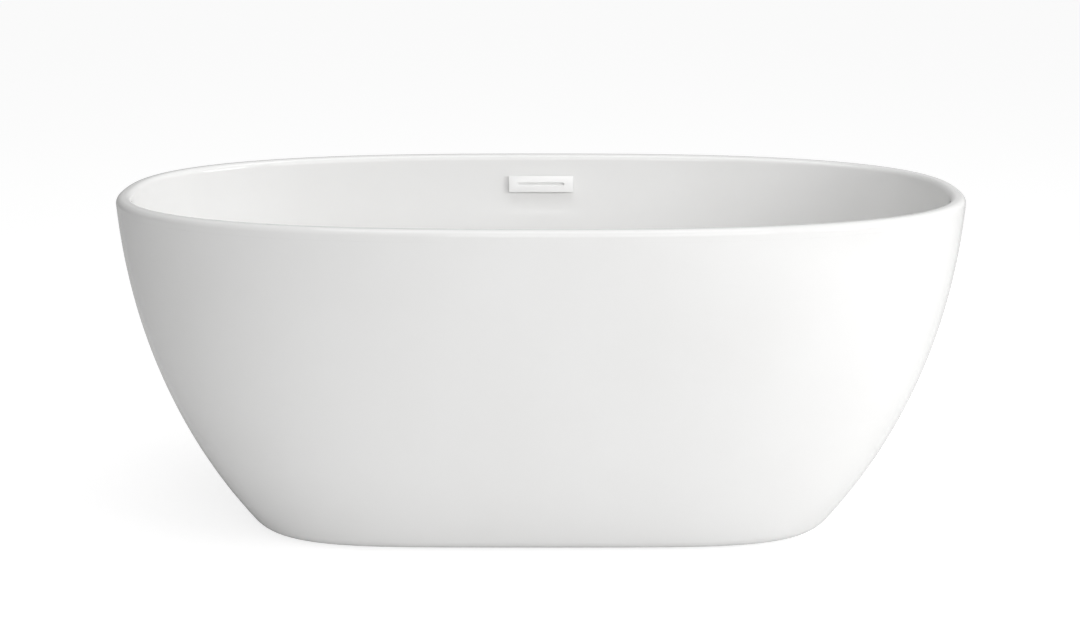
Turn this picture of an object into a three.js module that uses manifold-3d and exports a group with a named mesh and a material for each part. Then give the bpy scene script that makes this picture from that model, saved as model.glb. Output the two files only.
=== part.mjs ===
// A freestanding oval bathtub: a moulded basin whose rim turns over, a separate outer skirt,
// and under them a board, a steel frame on four screw feet, a push drain and a slim overflow.
// Millimetres. X is the length, +Y the side of the overflow, +Z up. The origin is the middle of
// the floor area that the feet stand on.
import * as THREE from "three";
import { mergeVertices } from "three/addons/utils/BufferGeometryUtils.js";
import Module from "manifold-3d";

const wasm = await Module();
wasm.setup();

// Driving dimensions of the tub
const tubLength = 1500;
const tubWidth = 738;
const tubHeight = 595;
const rimWidth = 27;
const rimRound = 11; // radius of both rim edges
const skirtClearance = 3; // the skirt hangs this far above the floor
const fitGap = 0.3; // between pieces that touch
const ovalSteps = 44;

// Skirt: its side is an arc that leans out of the vertical, then a small round under it
const skirtWall = 5;
const skirtArcRadius = 1011;
const skirtLean = THREE.MathUtils.degToRad(3.75);
const skirtWidthShare = 0.467; // how far the sides draw in for each mm that the ends draw in
const baseRound = 53; // at the ends; tighter along the sides, where the wall is steeper
const flangeWidth = 35;
const bondDepth = 12; // how far the bond between basin and skirt hangs below the seam
const bondTaper = 1.8;
const skirtStations = [505, 425, 345, 265, 185, 110, 55]; // heights that the wall passes through

// Basin: an arc down to a floor round, and a floor that falls to the drain
const basinWall = 6;
const basinArcRadius = 1250;
const basinLean = THREE.MathUtils.degToRad(11.5);
const basinWidthShare = 0.64;
const floorRound = 90;
const floorTop = 150;
const drainTop = 144;
const basinBottom = 138;
const drainFlatRadius = 60;
const drainHoleRadius = 26;
const basinStations = [558, 518, 440, 360, 275];

// Plan ovals |x/a|^p + |y/b|^q = 1, at the rim, the skirt's base and the basin's floor
const rimPowers = { p: 2.66, q: 2.44 };
const basePowers = { p: 4.85, q: 3.3 };
const floorPowers = { p: 3.8, q: 3 };
const powerBlend = 1.15; // the skirt's powers change with this power of the depth

// Board and frame
const board = { halfLength: 380, halfWidth: 165, thickness: 15, drainRadius: 50 };
const screwReach = 12; // how far the board screws go into the board
const tube = { size: 30, wall: 2 };
const rail = { y: 150, halfLength: 400 };
const crossbarPlaces = [-385, -150, 150, 385];
const strip = { thickness: 2, width: 25, tabFrom: 362, upright: 403, footTo: 450, screw: 438 };
const boardScrewX = 250;
const screwRadius = 2.2;
const pilotRadius = 2.6; // holes that a screw's thread runs through
const clearRadius = 2.8; // holes in the strips and in the flange under them

// Feet
const foot = {
  x: 340, padRadius: 25, padHeight: 12, socketFloor: 7.5, stemRadius: 6, stemTop: 112,
  hexRadius: 8.1, hexHeight: 7, bossHeight: 25, bossRadius: 10, bossBore: 6.4,
  nutRadius: 11, nutHeight: 6, nutBore: 6.3, railHole: 6.6
};

// Overflow
const overflowDrop = 57; // below the rim's top
const cover = { width: 128, height: 32, depth: 6.2, slotWidth: 91, slotHeight: 5 };
const housing = { width: 124, height: 30, depth: 12, wall: 2.5, reach: 128, neck: 32 };
const bossX = 50; // where the two screws are, each side of the slot
const wallOpening = { width: 110, height: 18, corner: 8 };
const hose = { outer: 12.5, inner: 10.6 };
const spigotRadius = 10.2;
const coverScrewRadius = 1.5;
const clamp = { gap: 0.9, thickness: 1.2, width: 9 };

// Drain
const portHeight = 76;
const portEnd = 66;
const outletBottom = 12;
const waterway = 8; // radius of the bores in the port and the spigot

// Heights worked out from the above
const rimCentre = tubHeight - rimRound;
const seamHeight = rimCentre - 8;
const boardTop = basinBottom - fitGap;
const frameTop = boardTop - board.thickness - fitGap;
const frameBottom = frameTop - tube.size;
const flangeTop = skirtClearance + skirtWall;
const overflowHeight = tubHeight - overflowDrop;

const group = new THREE.Group();

// ---------------------------------------------------------------- solids

function solidOf(geometry) {
  geometry.deleteAttribute("normal");
  geometry.deleteAttribute("uv");
  const merged = mergeVertices(geometry, 1e-3);
  const vertProperties = new Float32Array(merged.attributes.position.array);
  const triVerts = new Uint32Array(merged.index.array);
  return new wasm.Manifold(new wasm.Mesh({ numProp: 3, vertProperties, triVerts }));
}

function geometryOf(solid) {
  const mesh = solid.getMesh();
  const geometry = new THREE.BufferGeometry();
  geometry.setAttribute("position", new THREE.BufferAttribute(mesh.vertProperties, 3));
  geometry.setIndex(new THREE.BufferAttribute(mesh.triVerts, 1));
  geometry.computeVertexNormals();
  return geometry;
}

function addPart(name, material, solid, parent = group) {
  const mesh = new THREE.Mesh(geometryOf(solid), material.clone());
  mesh.name = name;
  parent.add(mesh);
}

function block(x0, x1, y0, y1, z0, z1) {
  const geometry = new THREE.BoxGeometry(x1 - x0, y1 - y0, z1 - z0);
  geometry.translate((x0 + x1) / 2, (y0 + y1) / 2, (z0 + z1) / 2);
  return solidOf(geometry);
}

// A turned piece on a vertical axis, from [radius, height] points: either from axis to axis,
// or a loop that is closed here. Points run outwards along the bottom and back along the top.
function turned(points, sides = 20, x = 0, y = 0) {
  const profile = points.map(([radius, height]) => new THREE.Vector2(radius, height));
  if (points[0][0] > 0) profile.push(profile[0].clone());
  const geometry = new THREE.LatheGeometry(profile, sides);
  geometry.rotateX(Math.PI / 2);
  geometry.translate(x, y, 0);
  return solidOf(geometry);
}

const rod = (radius, z0, z1, x = 0, y = 0, sides = 12) =>
  turned([[0, z0], [radius, z0], [radius, z1], [0, z1]], sides, x, y);

const ring = (inner, outer, z0, z1, x = 0, y = 0, sides = 20) =>
  turned([[inner, z0], [outer, z0], [outer, z1], [inner, z1]], sides, x, y);

// A rod or bore that lies along Y
function rodAlongY(radius, y0, y1, z, sides = 12) {
  const geometry = new THREE.CylinderGeometry(radius, radius, y1 - y0, sides);
  geometry.translate(0, (y0 + y1) / 2, z);
  return solidOf(geometry);
}

// An outline in X and Z, pushed along Y
function plate(points, y0, y1) {
  const shape = new THREE.Shape(points.map(([x, z]) => new THREE.Vector2(x, z)));
  const geometry = new THREE.ExtrudeGeometry(shape, { depth: y1 - y0, bevelEnabled: false });
  geometry.rotateX(Math.PI / 2);
  geometry.translate(0, y1, 0);
  return solidOf(geometry);
}

function roundedOutline(width, height, radius) {
  const x = width / 2 - radius;
  const z = height / 2 - radius;
  const shape = new THREE.Shape();
  shape.absarc(x, z, radius, 0, Math.PI / 2);
  shape.absarc(-x, z, radius, Math.PI / 2, Math.PI);
  shape.absarc(-x, -z, radius, Math.PI, 1.5 * Math.PI);
  shape.absarc(x, -z, radius, 1.5 * Math.PI, 2 * Math.PI);
  return shape.getPoints(2).slice(0, -1).map((point) => [point.x, point.y]);
}

// ---------------------------------------------------------------- oval shells

// How far along its own ray a point of the oval lies, for one direction
function ovalReach(angle, p, q) {
  const c = Math.abs(Math.cos(angle));
  const s = Math.abs(Math.sin(angle));
  let low = 1;
  let high = 1.5;
  for (let step = 0; step < 40; step++) {
    const reach = (low + high) / 2;
    if ((reach * c) ** p + (reach * s) ** q < 1) low = reach;
    else high = reach;
  }
  return low;
}

// A level is one ring of a shell: it gives the ring's point in each direction
const axisLevel = (z) => ({ onAxis: true, at: () => new THREE.Vector3(0, 0, z) });

const circleLevel = (radius, z) => ovalLevel({ a: radius, b: radius, p: 2, q: 2, offset: 0, z });

// The oval a by b, moved along its own normal
function ovalLevel({ a, b, p, q, offset, z }) {
  function normal(angle) {
    const reach = ovalReach(angle, p, q);
    const x = reach * Math.cos(angle);
    const y = reach * Math.sin(angle);
    return new THREE.Vector3(
      (Math.sign(x) * p * Math.abs(x) ** (p - 1)) / a,
      (Math.sign(y) * q * Math.abs(y) ** (q - 1)) / b,
      0
    ).normalize();
  }
  function at(angle) {
    const reach = ovalReach(angle, p, q);
    const foot = new THREE.Vector3(a * reach * Math.cos(angle), b * reach * Math.sin(angle), z);
    return foot.addScaledVector(normal(angle), offset);
  }
  return { at, normal };
}

const rimLevel = (offset, z) =>
  ovalLevel({ a: tubLength / 2, b: tubWidth / 2, ...rimPowers, offset, z });

// A lathe whose rings are levels. A list that doesn't start on the axis is closed on itself.
function ovalSolid(levels) {
  const loop = levels[0].onAxis ? levels : [...levels, levels[0]];
  const profile = loop.map((level, index) => new THREE.Vector2(level.onAxis ? 0 : 1, index));
  const geometry = new THREE.LatheGeometry(profile, ovalSteps);
  const position = geometry.attributes.position;
  for (let side = 0; side <= ovalSteps; side++) {
    const angle = ((side % ovalSteps) / ovalSteps) * 2 * Math.PI;
    loop.forEach((level, index) => {
      const point = level.at(angle);
      position.setXYZ(side * loop.length + index, point.x, point.y, point.z);
    });
  }
  return solidOf(geometry);
}

// A wall that starts at the rim and leans in along an arc, then turns under in a round
function arcWall(arcRadius, lean, widthShare, round, bottom, powers, blend) {
  const endSine = (arcRadius * Math.sin(lean) + rimCentre - bottom - round) / (arcRadius - round);
  const endHeight = bottom + round * (1 - endSine);
  const leanAt = (z) => Math.asin(Math.sin(lean) + (rimCentre - z) / arcRadius);
  const mix = (from, to, share) => from + (to - from) * share;

  function wallLevel(z, offset, inwards) {
    const angle = leanAt(z);
    const drawIn = arcRadius * (Math.cos(lean) - Math.cos(angle));
    const share = ((rimCentre - z) / (rimCentre - endHeight)) ** blend;
    return ovalLevel({
      a: tubLength / 2 - drawIn,
      b: tubWidth / 2 - widthShare * drawIn,
      p: mix(rimPowers.p, powers.p, share),
      q: mix(rimPowers.q, powers.q, share),
      offset: offset - inwards * Math.cos(angle),
      z: z + inwards * Math.sin(angle)
    });
  }

  // The round's rings, from where the wall ends (share 0) to flat (share 1). Its height is the
  // same all round, so its radius follows from how much the wall leans in each direction.
  function roundLevel(share, offset, inwards) {
    const foot = wallLevel(endHeight, offset, 0);
    const above = wallLevel(endHeight + 1, offset, 0);
    function at(direction) {
      const normal = foot.normal(direction);
      const point = foot.at(direction);
      const sine = Math.sin(Math.atan(above.at(direction).sub(point).dot(normal)));
      const radius = (endHeight - bottom) / (1 - sine);
      const angle = mix(Math.asin(sine), Math.PI / 2, share);
      const outwards = (radius - inwards) * Math.cos(angle) - radius * Math.sqrt(1 - sine ** 2);
      point.addScaledVector(normal, outwards);
      point.z = bottom + radius - (radius - inwards) * Math.sin(angle);
      return point;
    }
    return { at };
  }
  return { wallLevel, roundLevel };
}

const skirtArc = arcWall(
  skirtArcRadius, skirtLean, skirtWidthShare, baseRound, skirtClearance, basePowers, powerBlend
);
const basinArc = arcWall(
  basinArcRadius, basinLean, basinWidthShare, floorRound, floorTop, floorPowers, 1
);
const roundShares = [0, 0.25, 0.5, 0.75, 1];

// Angles of a quarter round, from 0 to 90 degrees
const quarter = (count) =>
  Array.from({ length: count + 1 }, (_, index) => (index / count) * (Math.PI / 2));

// The same ring, lower
const lowered = (level, by) => ({ at: (angle) => level.at(angle).setZ(level.at(angle).z - by) });

function basinShell() {
  const thicker = drainTop - basinBottom; // the flat underside is this much below the round
  const cavityRound = rimRound - basinWall;
  const rimArc = (radius, edge, side) => (angle) =>
    rimLevel(edge + side * radius * Math.cos(angle), rimCentre + radius * Math.sin(angle));
  const dry = [
    axisLevel(basinBottom),
    circleLevel(drainFlatRadius, basinBottom),
    ...roundShares.toReversed().map(
      (share) => lowered(basinArc.roundLevel(share, -rimWidth, -basinWall), share * thicker)
    ),
    ...basinStations.toReversed().map((z) => basinArc.wallLevel(z, -rimWidth, -basinWall))
  ];
  const cavity = [
    ...quarter(1).map(rimArc(cavityRound, rimRound - rimWidth, -1)),
    ...quarter(1).toReversed().map(rimArc(cavityRound, -rimRound, 1)),
    rimLevel(-basinWall, seamHeight)
  ];
  const rim = [
    rimLevel(0, seamHeight),
    ...quarter(3).map(rimArc(rimRound, -rimRound, 1)),
    ...quarter(3).toReversed().map(rimArc(rimRound, rimRound - rimWidth, -1))
  ];
  const wet = [
    ...basinStations.map((z) => basinArc.wallLevel(z, -rimWidth, 0)),
    ...roundShares.map((share) => basinArc.roundLevel(share, -rimWidth, 0)),
    circleLevel(drainFlatRadius, drainTop),
    axisLevel(drainTop)
  ];
  const drainHole = rod(drainHoleRadius, basinBottom - 5, drainTop + 5);
  return ovalSolid([...dry, ...cavity, ...rim, ...wet]).subtract(drainHole).subtract(wallHole());
}

function skirtShell() {
  const flangeEdge = (z) => ({
    at: (angle) => skirtArc.roundLevel(1, -flangeWidth, 0).at(angle).setZ(z)
  });
  let solid = ovalSolid([
    ...roundShares.toReversed().map((share) => skirtArc.roundLevel(share, 0, 0)),
    ...skirtStations.toReversed().map((z) => skirtArc.wallLevel(z, 0, 0)),
    rimLevel(-0.6, seamHeight - fitGap),
    rimLevel(-skirtWall - 0.4, seamHeight - fitGap),
    ...skirtStations.map((z) => skirtArc.wallLevel(z, 0, skirtWall)),
    ...roundShares.map((share) => skirtArc.roundLevel(share, 0, skirtWall)),
    flangeEdge(flangeTop),
    flangeEdge(skirtClearance)
  ]);
  for (const [x, y] of corners(strip.screw, rail.y)) {
    solid = solid.subtract(rod(clearRadius, -1, flangeTop + 1, x, y, 8));
  }
  return solid;
}

function rimBondRing() {
  const inner = fitGap + basinWall;
  const outer = rimWidth - inner;
  const cavityTop = tubHeight - basinWall - 2 * fitGap;
  const lowest = seamHeight - bondDepth;
  return ovalSolid([
    rimLevel(-outer, lowest),
    rimLevel(-inner - bondTaper, lowest),
    rimLevel(-inner, rimCentre - fitGap),
    rimLevel(-rimRound, cavityTop),
    rimLevel(rimRound - rimWidth, cavityTop),
    rimLevel(-outer, rimCentre - fitGap)
  ]);
}

function baseBoard() {
  const { halfLength, halfWidth, thickness, drainRadius } = board;
  const bottom = boardTop - thickness;
  let solid = block(-halfLength, halfLength, -halfWidth, halfWidth, bottom, boardTop);
  solid = solid.subtract(rod(drainRadius, bottom - 1, boardTop + 1, 0, 0, 24));
  for (const [x, y] of corners(boardScrewX, rail.y)) {
    solid = solid.subtract(rod(pilotRadius, bottom - 1, bottom + screwReach, x, y, 8));
  }
  return solid;
}

// ---------------------------------------------------------------- frame and feet

// The four mirrored places, in the order left front, right front, left back, right back
function corners(x, y) {
  return [[-x, -y], [x, -y], [-x, y], [x, y]];
}

// A square tube along X, with its open ends
function squareTube(length) {
  const half = tube.size / 2;
  const hollow = half - tube.wall;
  const outside = block(-length / 2, length / 2, -half, half, -half, half);
  return outside.subtract(block(-length, length, -hollow, hollow, -hollow, hollow));
}

function frameRail(y) {
  let solid = squareTube(2 * rail.halfLength).translate([0, y, (frameTop + frameBottom) / 2]);
  for (const side of [-1, 1]) {
    const [stemX, screwX] = [side * foot.x, side * boardScrewX];
    solid = solid.subtract(rod(foot.railHole, frameBottom - 1, frameBottom + 5, stemX, y, 12));
    solid = solid.subtract(rod(pilotRadius, frameBottom - 1, frameTop + 1, screwX, y, 8));
  }
  return solid;
}

function crossbar(x) {
  const length = 2 * (rail.y - tube.size / 2 - fitGap);
  return squareTube(length).rotate([0, 0, 90]).translate([x, 0, (frameTop + frameBottom) / 2]);
}

// A folded strip: a tab under the rail, an upright, and a foot on the skirt's flange
function skirtBracket(x, y) {
  const side = Math.sign(x);
  const { thickness, width, tabFrom, upright, footTo, screw } = strip;
  const tabTop = frameBottom - fitGap;
  const footBottom = flangeTop + fitGap;
  const outline = [
    [tabFrom, tabTop], [tabFrom, tabTop - thickness], [upright, tabTop - thickness],
    [upright, footBottom], [footTo, footBottom], [footTo, footBottom + thickness],
    [upright + thickness, footBottom + thickness], [upright + thickness, tabTop]
  ].map(([along, z]) => [side * along, z]);
  if (side < 0) outline.reverse();
  return plate(outline, y - width / 2, y + width / 2)
    .subtract(rod(clearRadius, 0, footBottom + 5, side * screw, y, 8));
}

// A pan-head screw with its seat at z, pointing down or up
function screw(z, length, radius, x, y, down) {
  const head = [[2 * radius, 0], [2 * radius, 1.6], [radius, 2.6], [0, 2.6]];
  const solid = turned([[0, -length], [radius, -length], [radius, 0], ...head], 8);
  return (down ? solid : solid.rotate([180, 0, 0])).translate([x, y, z]);
}

function footPad(x, y) {
  const { padRadius, padHeight, socketFloor, stemRadius } = foot;
  const bore = stemRadius + fitGap;
  return turned([
    [0, 0], [padRadius, 0], [padRadius, 3], [padRadius - 6, 8.5], [bore + 5, padHeight],
    [bore, padHeight], [bore, socketFloor], [0, socketFloor]
  ], 16, x, y);
}

// The threaded stem, with a hexagon for a spanner just above the pad
function footStem(x, y) {
  const { stemRadius, stemTop, padHeight, socketFloor, hexRadius, hexHeight } = foot;
  const stemBottom = socketFloor + fitGap;
  const hexBottom = padHeight + 2;
  const stem = turned([
    [0, stemBottom], [stemRadius, stemBottom], [stemRadius, stemTop - 1.5],
    [stemRadius - 1.5, stemTop], [0, stemTop]
  ], 12, x, y);
  return stem.add(rod(hexRadius, hexBottom, hexBottom + hexHeight, x, y, 6));
}

function footNut(x, y) {
  const { nutRadius, nutHeight, nutBore, bossHeight } = foot;
  const top = frameBottom - fitGap - bossHeight - 4;
  const bottom = top - nutHeight;
  return rod(nutRadius, bottom, top, x, y, 6).subtract(rod(nutBore, bottom - 1, top + 1, x, y, 12));
}

function buildFrame() {
  addPart("rail_front", materials.galvanised, frameRail(-rail.y));
  addPart("rail_back", materials.galvanised, frameRail(rail.y));
  crossbarPlaces.forEach((x, index) => {
    addPart(`crossbar_${index + 1}`, materials.galvanised, crossbar(x));
  });
  corners(1, rail.y).forEach(([side, y], index) => {
    const number = index + 1;
    const screwX = side * strip.screw;
    const seat = flangeTop + 2 * fitGap + strip.thickness;
    addPart(`skirt_bracket_${number}`, materials.galvanised, skirtBracket(side, y));
    addPart(`bracket_screw_${number}`, materials.zinc,
      screw(seat, 7, screwRadius, screwX, y, true));
    addPart(`board_screw_${number}`, materials.zinc,
      screw(frameBottom - fitGap, 41, screwRadius, side * boardScrewX, y, false));
  });
}

function buildFeet() {
  corners(foot.x, rail.y).forEach(([x, y], index) => {
    const number = index + 1;
    const bossTop = frameBottom - fitGap;
    const { bossBore, bossRadius, bossHeight } = foot;
    const boss = ring(bossBore, bossRadius, bossTop - bossHeight, bossTop, x, y, 12);
    addPart(`foot_boss_${number}`, materials.galvanised, boss);
    addPart(`foot_pad_${number}`, materials.rubber, footPad(x, y));
    addPart(`foot_stem_${number}`, materials.zinc, footStem(x, y));
    addPart(`foot_nut_${number}`, materials.zinc, footNut(x, y));
  });
}

// ---------------------------------------------------------------- drain

const drain = {
  flangeBottom: drainTop + 2.1, flangeTop: drainTop + 5.5, flangeRadius: 35, bore: 19,
  barrel: 22, barrelBottom: 100, spiderBottom: 115, spiderTop: 121, hubBore: 4.3,
  bodyTop: 135.1, nippleBottom: 36, capBottom: 161.8, sealInner: 24, sealBottom: 159,
  springRadius: 8.4, springWire: 0.7, springTurns: 5, plungerRadius: 4
};

// The flange screws down into the body. A cross in its barrel guides the stopper's plunger.
function drainFlange() {
  const { flangeBottom, flangeTop: top, flangeRadius, bore, barrel, barrelBottom } = drain;
  const { spiderBottom, spiderTop, hubBore } = drain;
  const shell = turned([
    [bore, barrelBottom], [barrel, barrelBottom], [barrel, flangeBottom],
    [flangeRadius, flangeBottom], [flangeRadius, flangeBottom + 1.2], [flangeRadius - 4, top],
    [bore + 4, top], [bore, top - 4]
  ], 20);
  const arm = bore + 1;
  return shell
    .add(block(-arm, arm, -2, 2, spiderBottom, spiderTop))
    .add(block(-2, 2, -arm, arm, spiderBottom, spiderTop))
    .add(rod(7, spiderBottom, spiderTop))
    .subtract(rod(hubBore, spiderBottom - 1, spiderTop + 1));
}

// A cup under the floor, with an outlet nipple below and the overflow's port at its back
function drainBody() {
  const { bodyTop, barrel, nippleBottom } = drain;
  const cup = turned([
    [17, nippleBottom], [21, nippleBottom], [21, 58], [29, 62], [29, bodyTop - 4],
    [42, bodyTop - 4], [42, bodyTop], [barrel + 0.4, bodyTop], [barrel + 0.4, 98],
    [25, 96], [25, 65], [17, 60]
  ], 20);
  return cup
    .add(rodAlongY(spigotRadius, 27, portEnd, portHeight))
    .subtract(rodAlongY(waterway, 20, portEnd + 1, portHeight));
}

function stopperSpring() {
  const { spiderTop, capBottom, springRadius: radius, springWire, springTurns: turns } = drain;
  const from = spiderTop + fitGap + 0.8;
  const to = capBottom - 2 * fitGap - 0.8;
  class Helix extends THREE.Curve {
    getPoint(share, target = new THREE.Vector3()) {
      const angle = share * turns * 2 * Math.PI;
      const z = THREE.MathUtils.lerp(from, to, share);
      return target.set(radius * Math.cos(angle), radius * Math.sin(angle), z);
    }
  }
  const wire = new THREE.EllipseCurve(0, 0, springWire, springWire).getPoints(4).slice(0, -1);
  const section = new THREE.Shape(wire);
  const settings = { steps: turns * 8, extrudePath: new Helix(), bevelEnabled: false };
  return solidOf(new THREE.ExtrudeGeometry(section, settings));
}

function buildDrain() {
  const { flangeBottom, spiderBottom, bodyTop, nippleBottom, capBottom } = drain;
  const { sealInner, sealBottom, plungerRadius } = drain;
  const sealTop = capBottom - fitGap;
  const rodBottom = spiderBottom - 8;
  addPart("drain_flange", materials.whiteTrim, drainFlange());
  addPart("drain_flange_seal", materials.rubber,
    ring(26.5, 33, drainTop + fitGap, flangeBottom - fitGap));
  addPart("drain_body", materials.blackPlastic, drainBody());
  addPart("drain_body_gasket", materials.rubber,
    ring(27, 41, bodyTop + fitGap, basinBottom - fitGap));
  addPart("tailpiece", materials.blackPlastic, ring(14.5, 16.5, outletBottom, 52));
  addPart("tailpiece_washer", materials.rubber, ring(16.8, 21, 26.3, nippleBottom - fitGap));
  addPart("tailpiece_nut", materials.blackPlastic, turned([
    [17, 22], [26, 22], [26, 46], [21.3, 46], [21.3, 26], [17, 26]
  ]));
  addPart("stopper_cap", materials.whiteTrim, turned([
    [0, capBottom], [31, capBottom], [32.5, capBottom + 1.2], [30, capBottom + 3.2],
    [18, capBottom + 4.8], [0, capBottom + 5.2]
  ], 20));
  addPart("stopper_seal", materials.rubber,
    turned([[sealInner, sealBottom], [29, sealBottom], [31, sealTop], [sealInner, sealTop]]));
  addPart("stopper_plunger", materials.brass,
    rod(plungerRadius, rodBottom, sealTop)
      .subtract(ring(3.2, 5, rodBottom + 4.5, spiderBottom - fitGap, 0, 0, 12)));
  addPart("stopper_clip", materials.brass,
    ring(3.5, 7, rodBottom + 4.8, spiderBottom - 2 * fitGap, 0, 0, 12));
  addPart("stopper_spring", materials.zinc, stopperSpring());
}

// ---------------------------------------------------------------- overflow

// The overflow lies on the basin's wall: Y here runs out through the wall, Z up along it
const [above, below] = basinStations
  .slice(0, 2)
  .map((z) => basinArc.wallLevel(z, -rimWidth, 0).at(Math.PI / 2));
const wallY = (above.y + below.y) / 2;
const wallTilt = Math.atan2(above.y - below.y, above.z - below.z);
const overflow = new THREE.Group();
overflow.position.set(0, wallY, overflowHeight);
overflow.rotation.x = -wallTilt;

function wallHole() {
  const tilt = THREE.MathUtils.radToDeg(-wallTilt);
  return plate(roundedOutline(wallOpening.width, wallOpening.height, wallOpening.corner), -15, 20)
    .rotate([tilt, 0, 0])
    .translate([0, wallY, overflowHeight]);
}

// Depths from the wall's wet face, which is 0 in the middle and 0.4 nearer at the cover's ends
const depths = {
  coverBack: -2.4, sealBack: -0.8, wallBack: basinWall + fitGap, housingFront: 8.6
};
const housingMiddle = depths.housingFront + housing.depth / 2;
const hoseTop = -151; // how far down the wall the hose starts

function overflowCover() {
  const { width, height, depth, slotWidth, slotHeight } = cover;
  const front = depths.coverBack - depth;
  const rimmed = plate(roundedOutline(width, height, 1), front, depths.coverBack)
    .subtract(plate(roundedOutline(width - 6, height - 6, 1), front + 2.6, 5));
  let solid = rimmed;
  for (const side of [-1, 1]) {
    const post = rodAlongY(4, front + 1, 5.5, 0).translate([side * bossX, 0, 0]);
    const pilot = rodAlongY(1.8, -2.5, 8, 0, 8).translate([side * bossX, 0, 0]);
    solid = solid.add(post).subtract(pilot);
  }
  const slot = plate(roundedOutline(slotWidth, slotHeight, 2.4), front - 1, 0);
  return solid.subtract(slot);
}

function frameGasket(outerWidth, outerHeight, innerWidth, innerHeight, y0, y1) {
  return plate(roundedOutline(outerWidth, outerHeight, 6), y0, y1)
    .subtract(plate(roundedOutline(innerWidth, innerHeight, 6), y0 - 1, y1 + 1));
}

// A flat duct that narrows downwards from the wall's hole to a round spigot for the hose
function overflowHousing() {
  const { width, height, depth, wall, reach, neck } = housing;
  const front = depths.housingFront;
  const duct = (side, top, shoulder, bottom, half, y0, y1) => plate([
    [-side, shoulder], [-half, bottom], [half, bottom], [side, shoulder], [side, top], [-side, top]
  ], y0, y1);
  const along = (radius, z0, z1) => rod(radius, z0, z1, 0, housingMiddle);
  let solid = duct(width / 2, height / 2, -height / 2, -reach, neck / 2, front, front + depth)
    .add(along(spigotRadius, hoseTop - 14, 16 - reach))
    .subtract(duct(bossX - 7, 12, -20, 10 - reach, neck / 2 - 5, front + wall, front + depth - wall))
    .subtract(along(waterway, hoseTop - 15, 14 - reach))
    .subtract(plate(roundedOutline(2 * (bossX - 8), 14, 6), front - 1, front + wall + 1));
  for (const side of [-1, 1]) {
    const hole = rodAlongY(2, front - 1, front + depth + 1, 0, 8);
    solid = solid.subtract(hole.translate([side * bossX, 0, 0]));
  }
  return solid;
}

// From behind the housing into the cover's post
function overflowScrew(side) {
  const seat = depths.housingFront + housing.depth + fitGap;
  return screw(0, 20, coverScrewRadius, 0, 0, true)
    .rotate([-90, 0, 0])
    .translate([side * bossX, seat, 0]);
}

// The hose hangs from the spigot between basin and skirt, and turns under the back rail
function hoseRoute() {
  const start = new THREE.Vector3(0, housingMiddle, hoseTop + 10);
  const below = new THREE.Vector3(0, housingMiddle, hoseTop - 30);
  overflow.updateMatrixWorld();
  return new THREE.CatmullRomCurve3([
    overflow.localToWorld(start),
    overflow.localToWorld(below),
    new THREE.Vector3(0, 316, 300),
    new THREE.Vector3(0, 298, 230),
    new THREE.Vector3(0, 274, 162),
    new THREE.Vector3(0, 238, 112),
    new THREE.Vector3(0, 192, 84),
    new THREE.Vector3(0, 140, portHeight),
    new THREE.Vector3(0, 90, portHeight),
    new THREE.Vector3(0, 40, portHeight)
  ], false, "centripetal");
}

function overflowHose() {
  const circle = (radius, sides) =>
    new THREE.EllipseCurve(0, 0, radius, radius).getPoints(sides).slice(0, -1);
  const section = new THREE.Shape(circle(hose.outer, 10));
  section.holes.push(new THREE.Path(circle(hose.inner + 0.3, 10)));
  const settings = { steps: 15, extrudePath: hoseRoute(), bevelEnabled: false };
  return solidOf(new THREE.ExtrudeGeometry(section, settings));
}

function hoseClamp() {
  const bore = hose.outer + clamp.gap;
  return ring(bore, bore + clamp.thickness, 0, clamp.width, 0, 0, 12);
}

function buildOverflow() {
  const { coverBack, sealBack, wallBack, housingFront } = depths;
  const put = (name, material, solid) => addPart(name, material, solid, overflow);
  put("overflow_cover", materials.whiteTrim, overflowCover());
  put("overflow_cover_seal", materials.rubber,
    frameGasket(124, 28, 116, 20, coverBack + fitGap, sealBack));
  put("overflow_gasket", materials.rubber,
    frameGasket(124, 30, 112, 19, wallBack, housingFront - fitGap));
  put("overflow_housing", materials.blackPlastic, overflowHousing());
  put("overflow_screw_1", materials.zinc, overflowScrew(-1));
  put("overflow_screw_2", materials.zinc, overflowScrew(1));
  put("hose_clamp_upper", materials.zinc,
    hoseClamp().translate([0, housingMiddle, hoseTop - clamp.width]));
  addPart("hose_clamp_lower", materials.zinc,
    hoseClamp().rotate([-90, 0, 0]).translate([0, 47, portHeight]));
  addPart("overflow_hose", materials.blackPlastic, overflowHose());
}

// ---------------------------------------------------------------- materials and assembly

function material(color, roughness, metalness = 0) {
  return new THREE.MeshStandardMaterial({ color, roughness, metalness });
}

const materials = {
  acrylic: material(0xf3f3f1, 0.12),
  laminate: material(0xd9d4c4, 0.6),
  whiteTrim: material(0xf7f7f5, 0.2),
  chipboard: material(0xb89468, 0.85),
  galvanised: material(0xa9adb0, 0.45, 0.9),
  zinc: material(0xb8bbbd, 0.35, 0.95),
  brass: material(0xc8a45a, 0.3, 1),
  rubber: material(0x202122, 0.9),
  blackPlastic: material(0x2a2b2d, 0.5)
};

addPart("basin_shell", materials.acrylic, basinShell());
addPart("skirt_shell", materials.acrylic, skirtShell());
addPart("rim_bond_ring", materials.laminate, rimBondRing());
addPart("base_board", materials.chipboard, baseBoard());
buildFrame();
buildFeet();
buildDrain();
group.add(overflow);
buildOverflow();

export default group;
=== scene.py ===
import math

import bmesh
import bpy
from mathutils import Matrix, Vector


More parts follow.
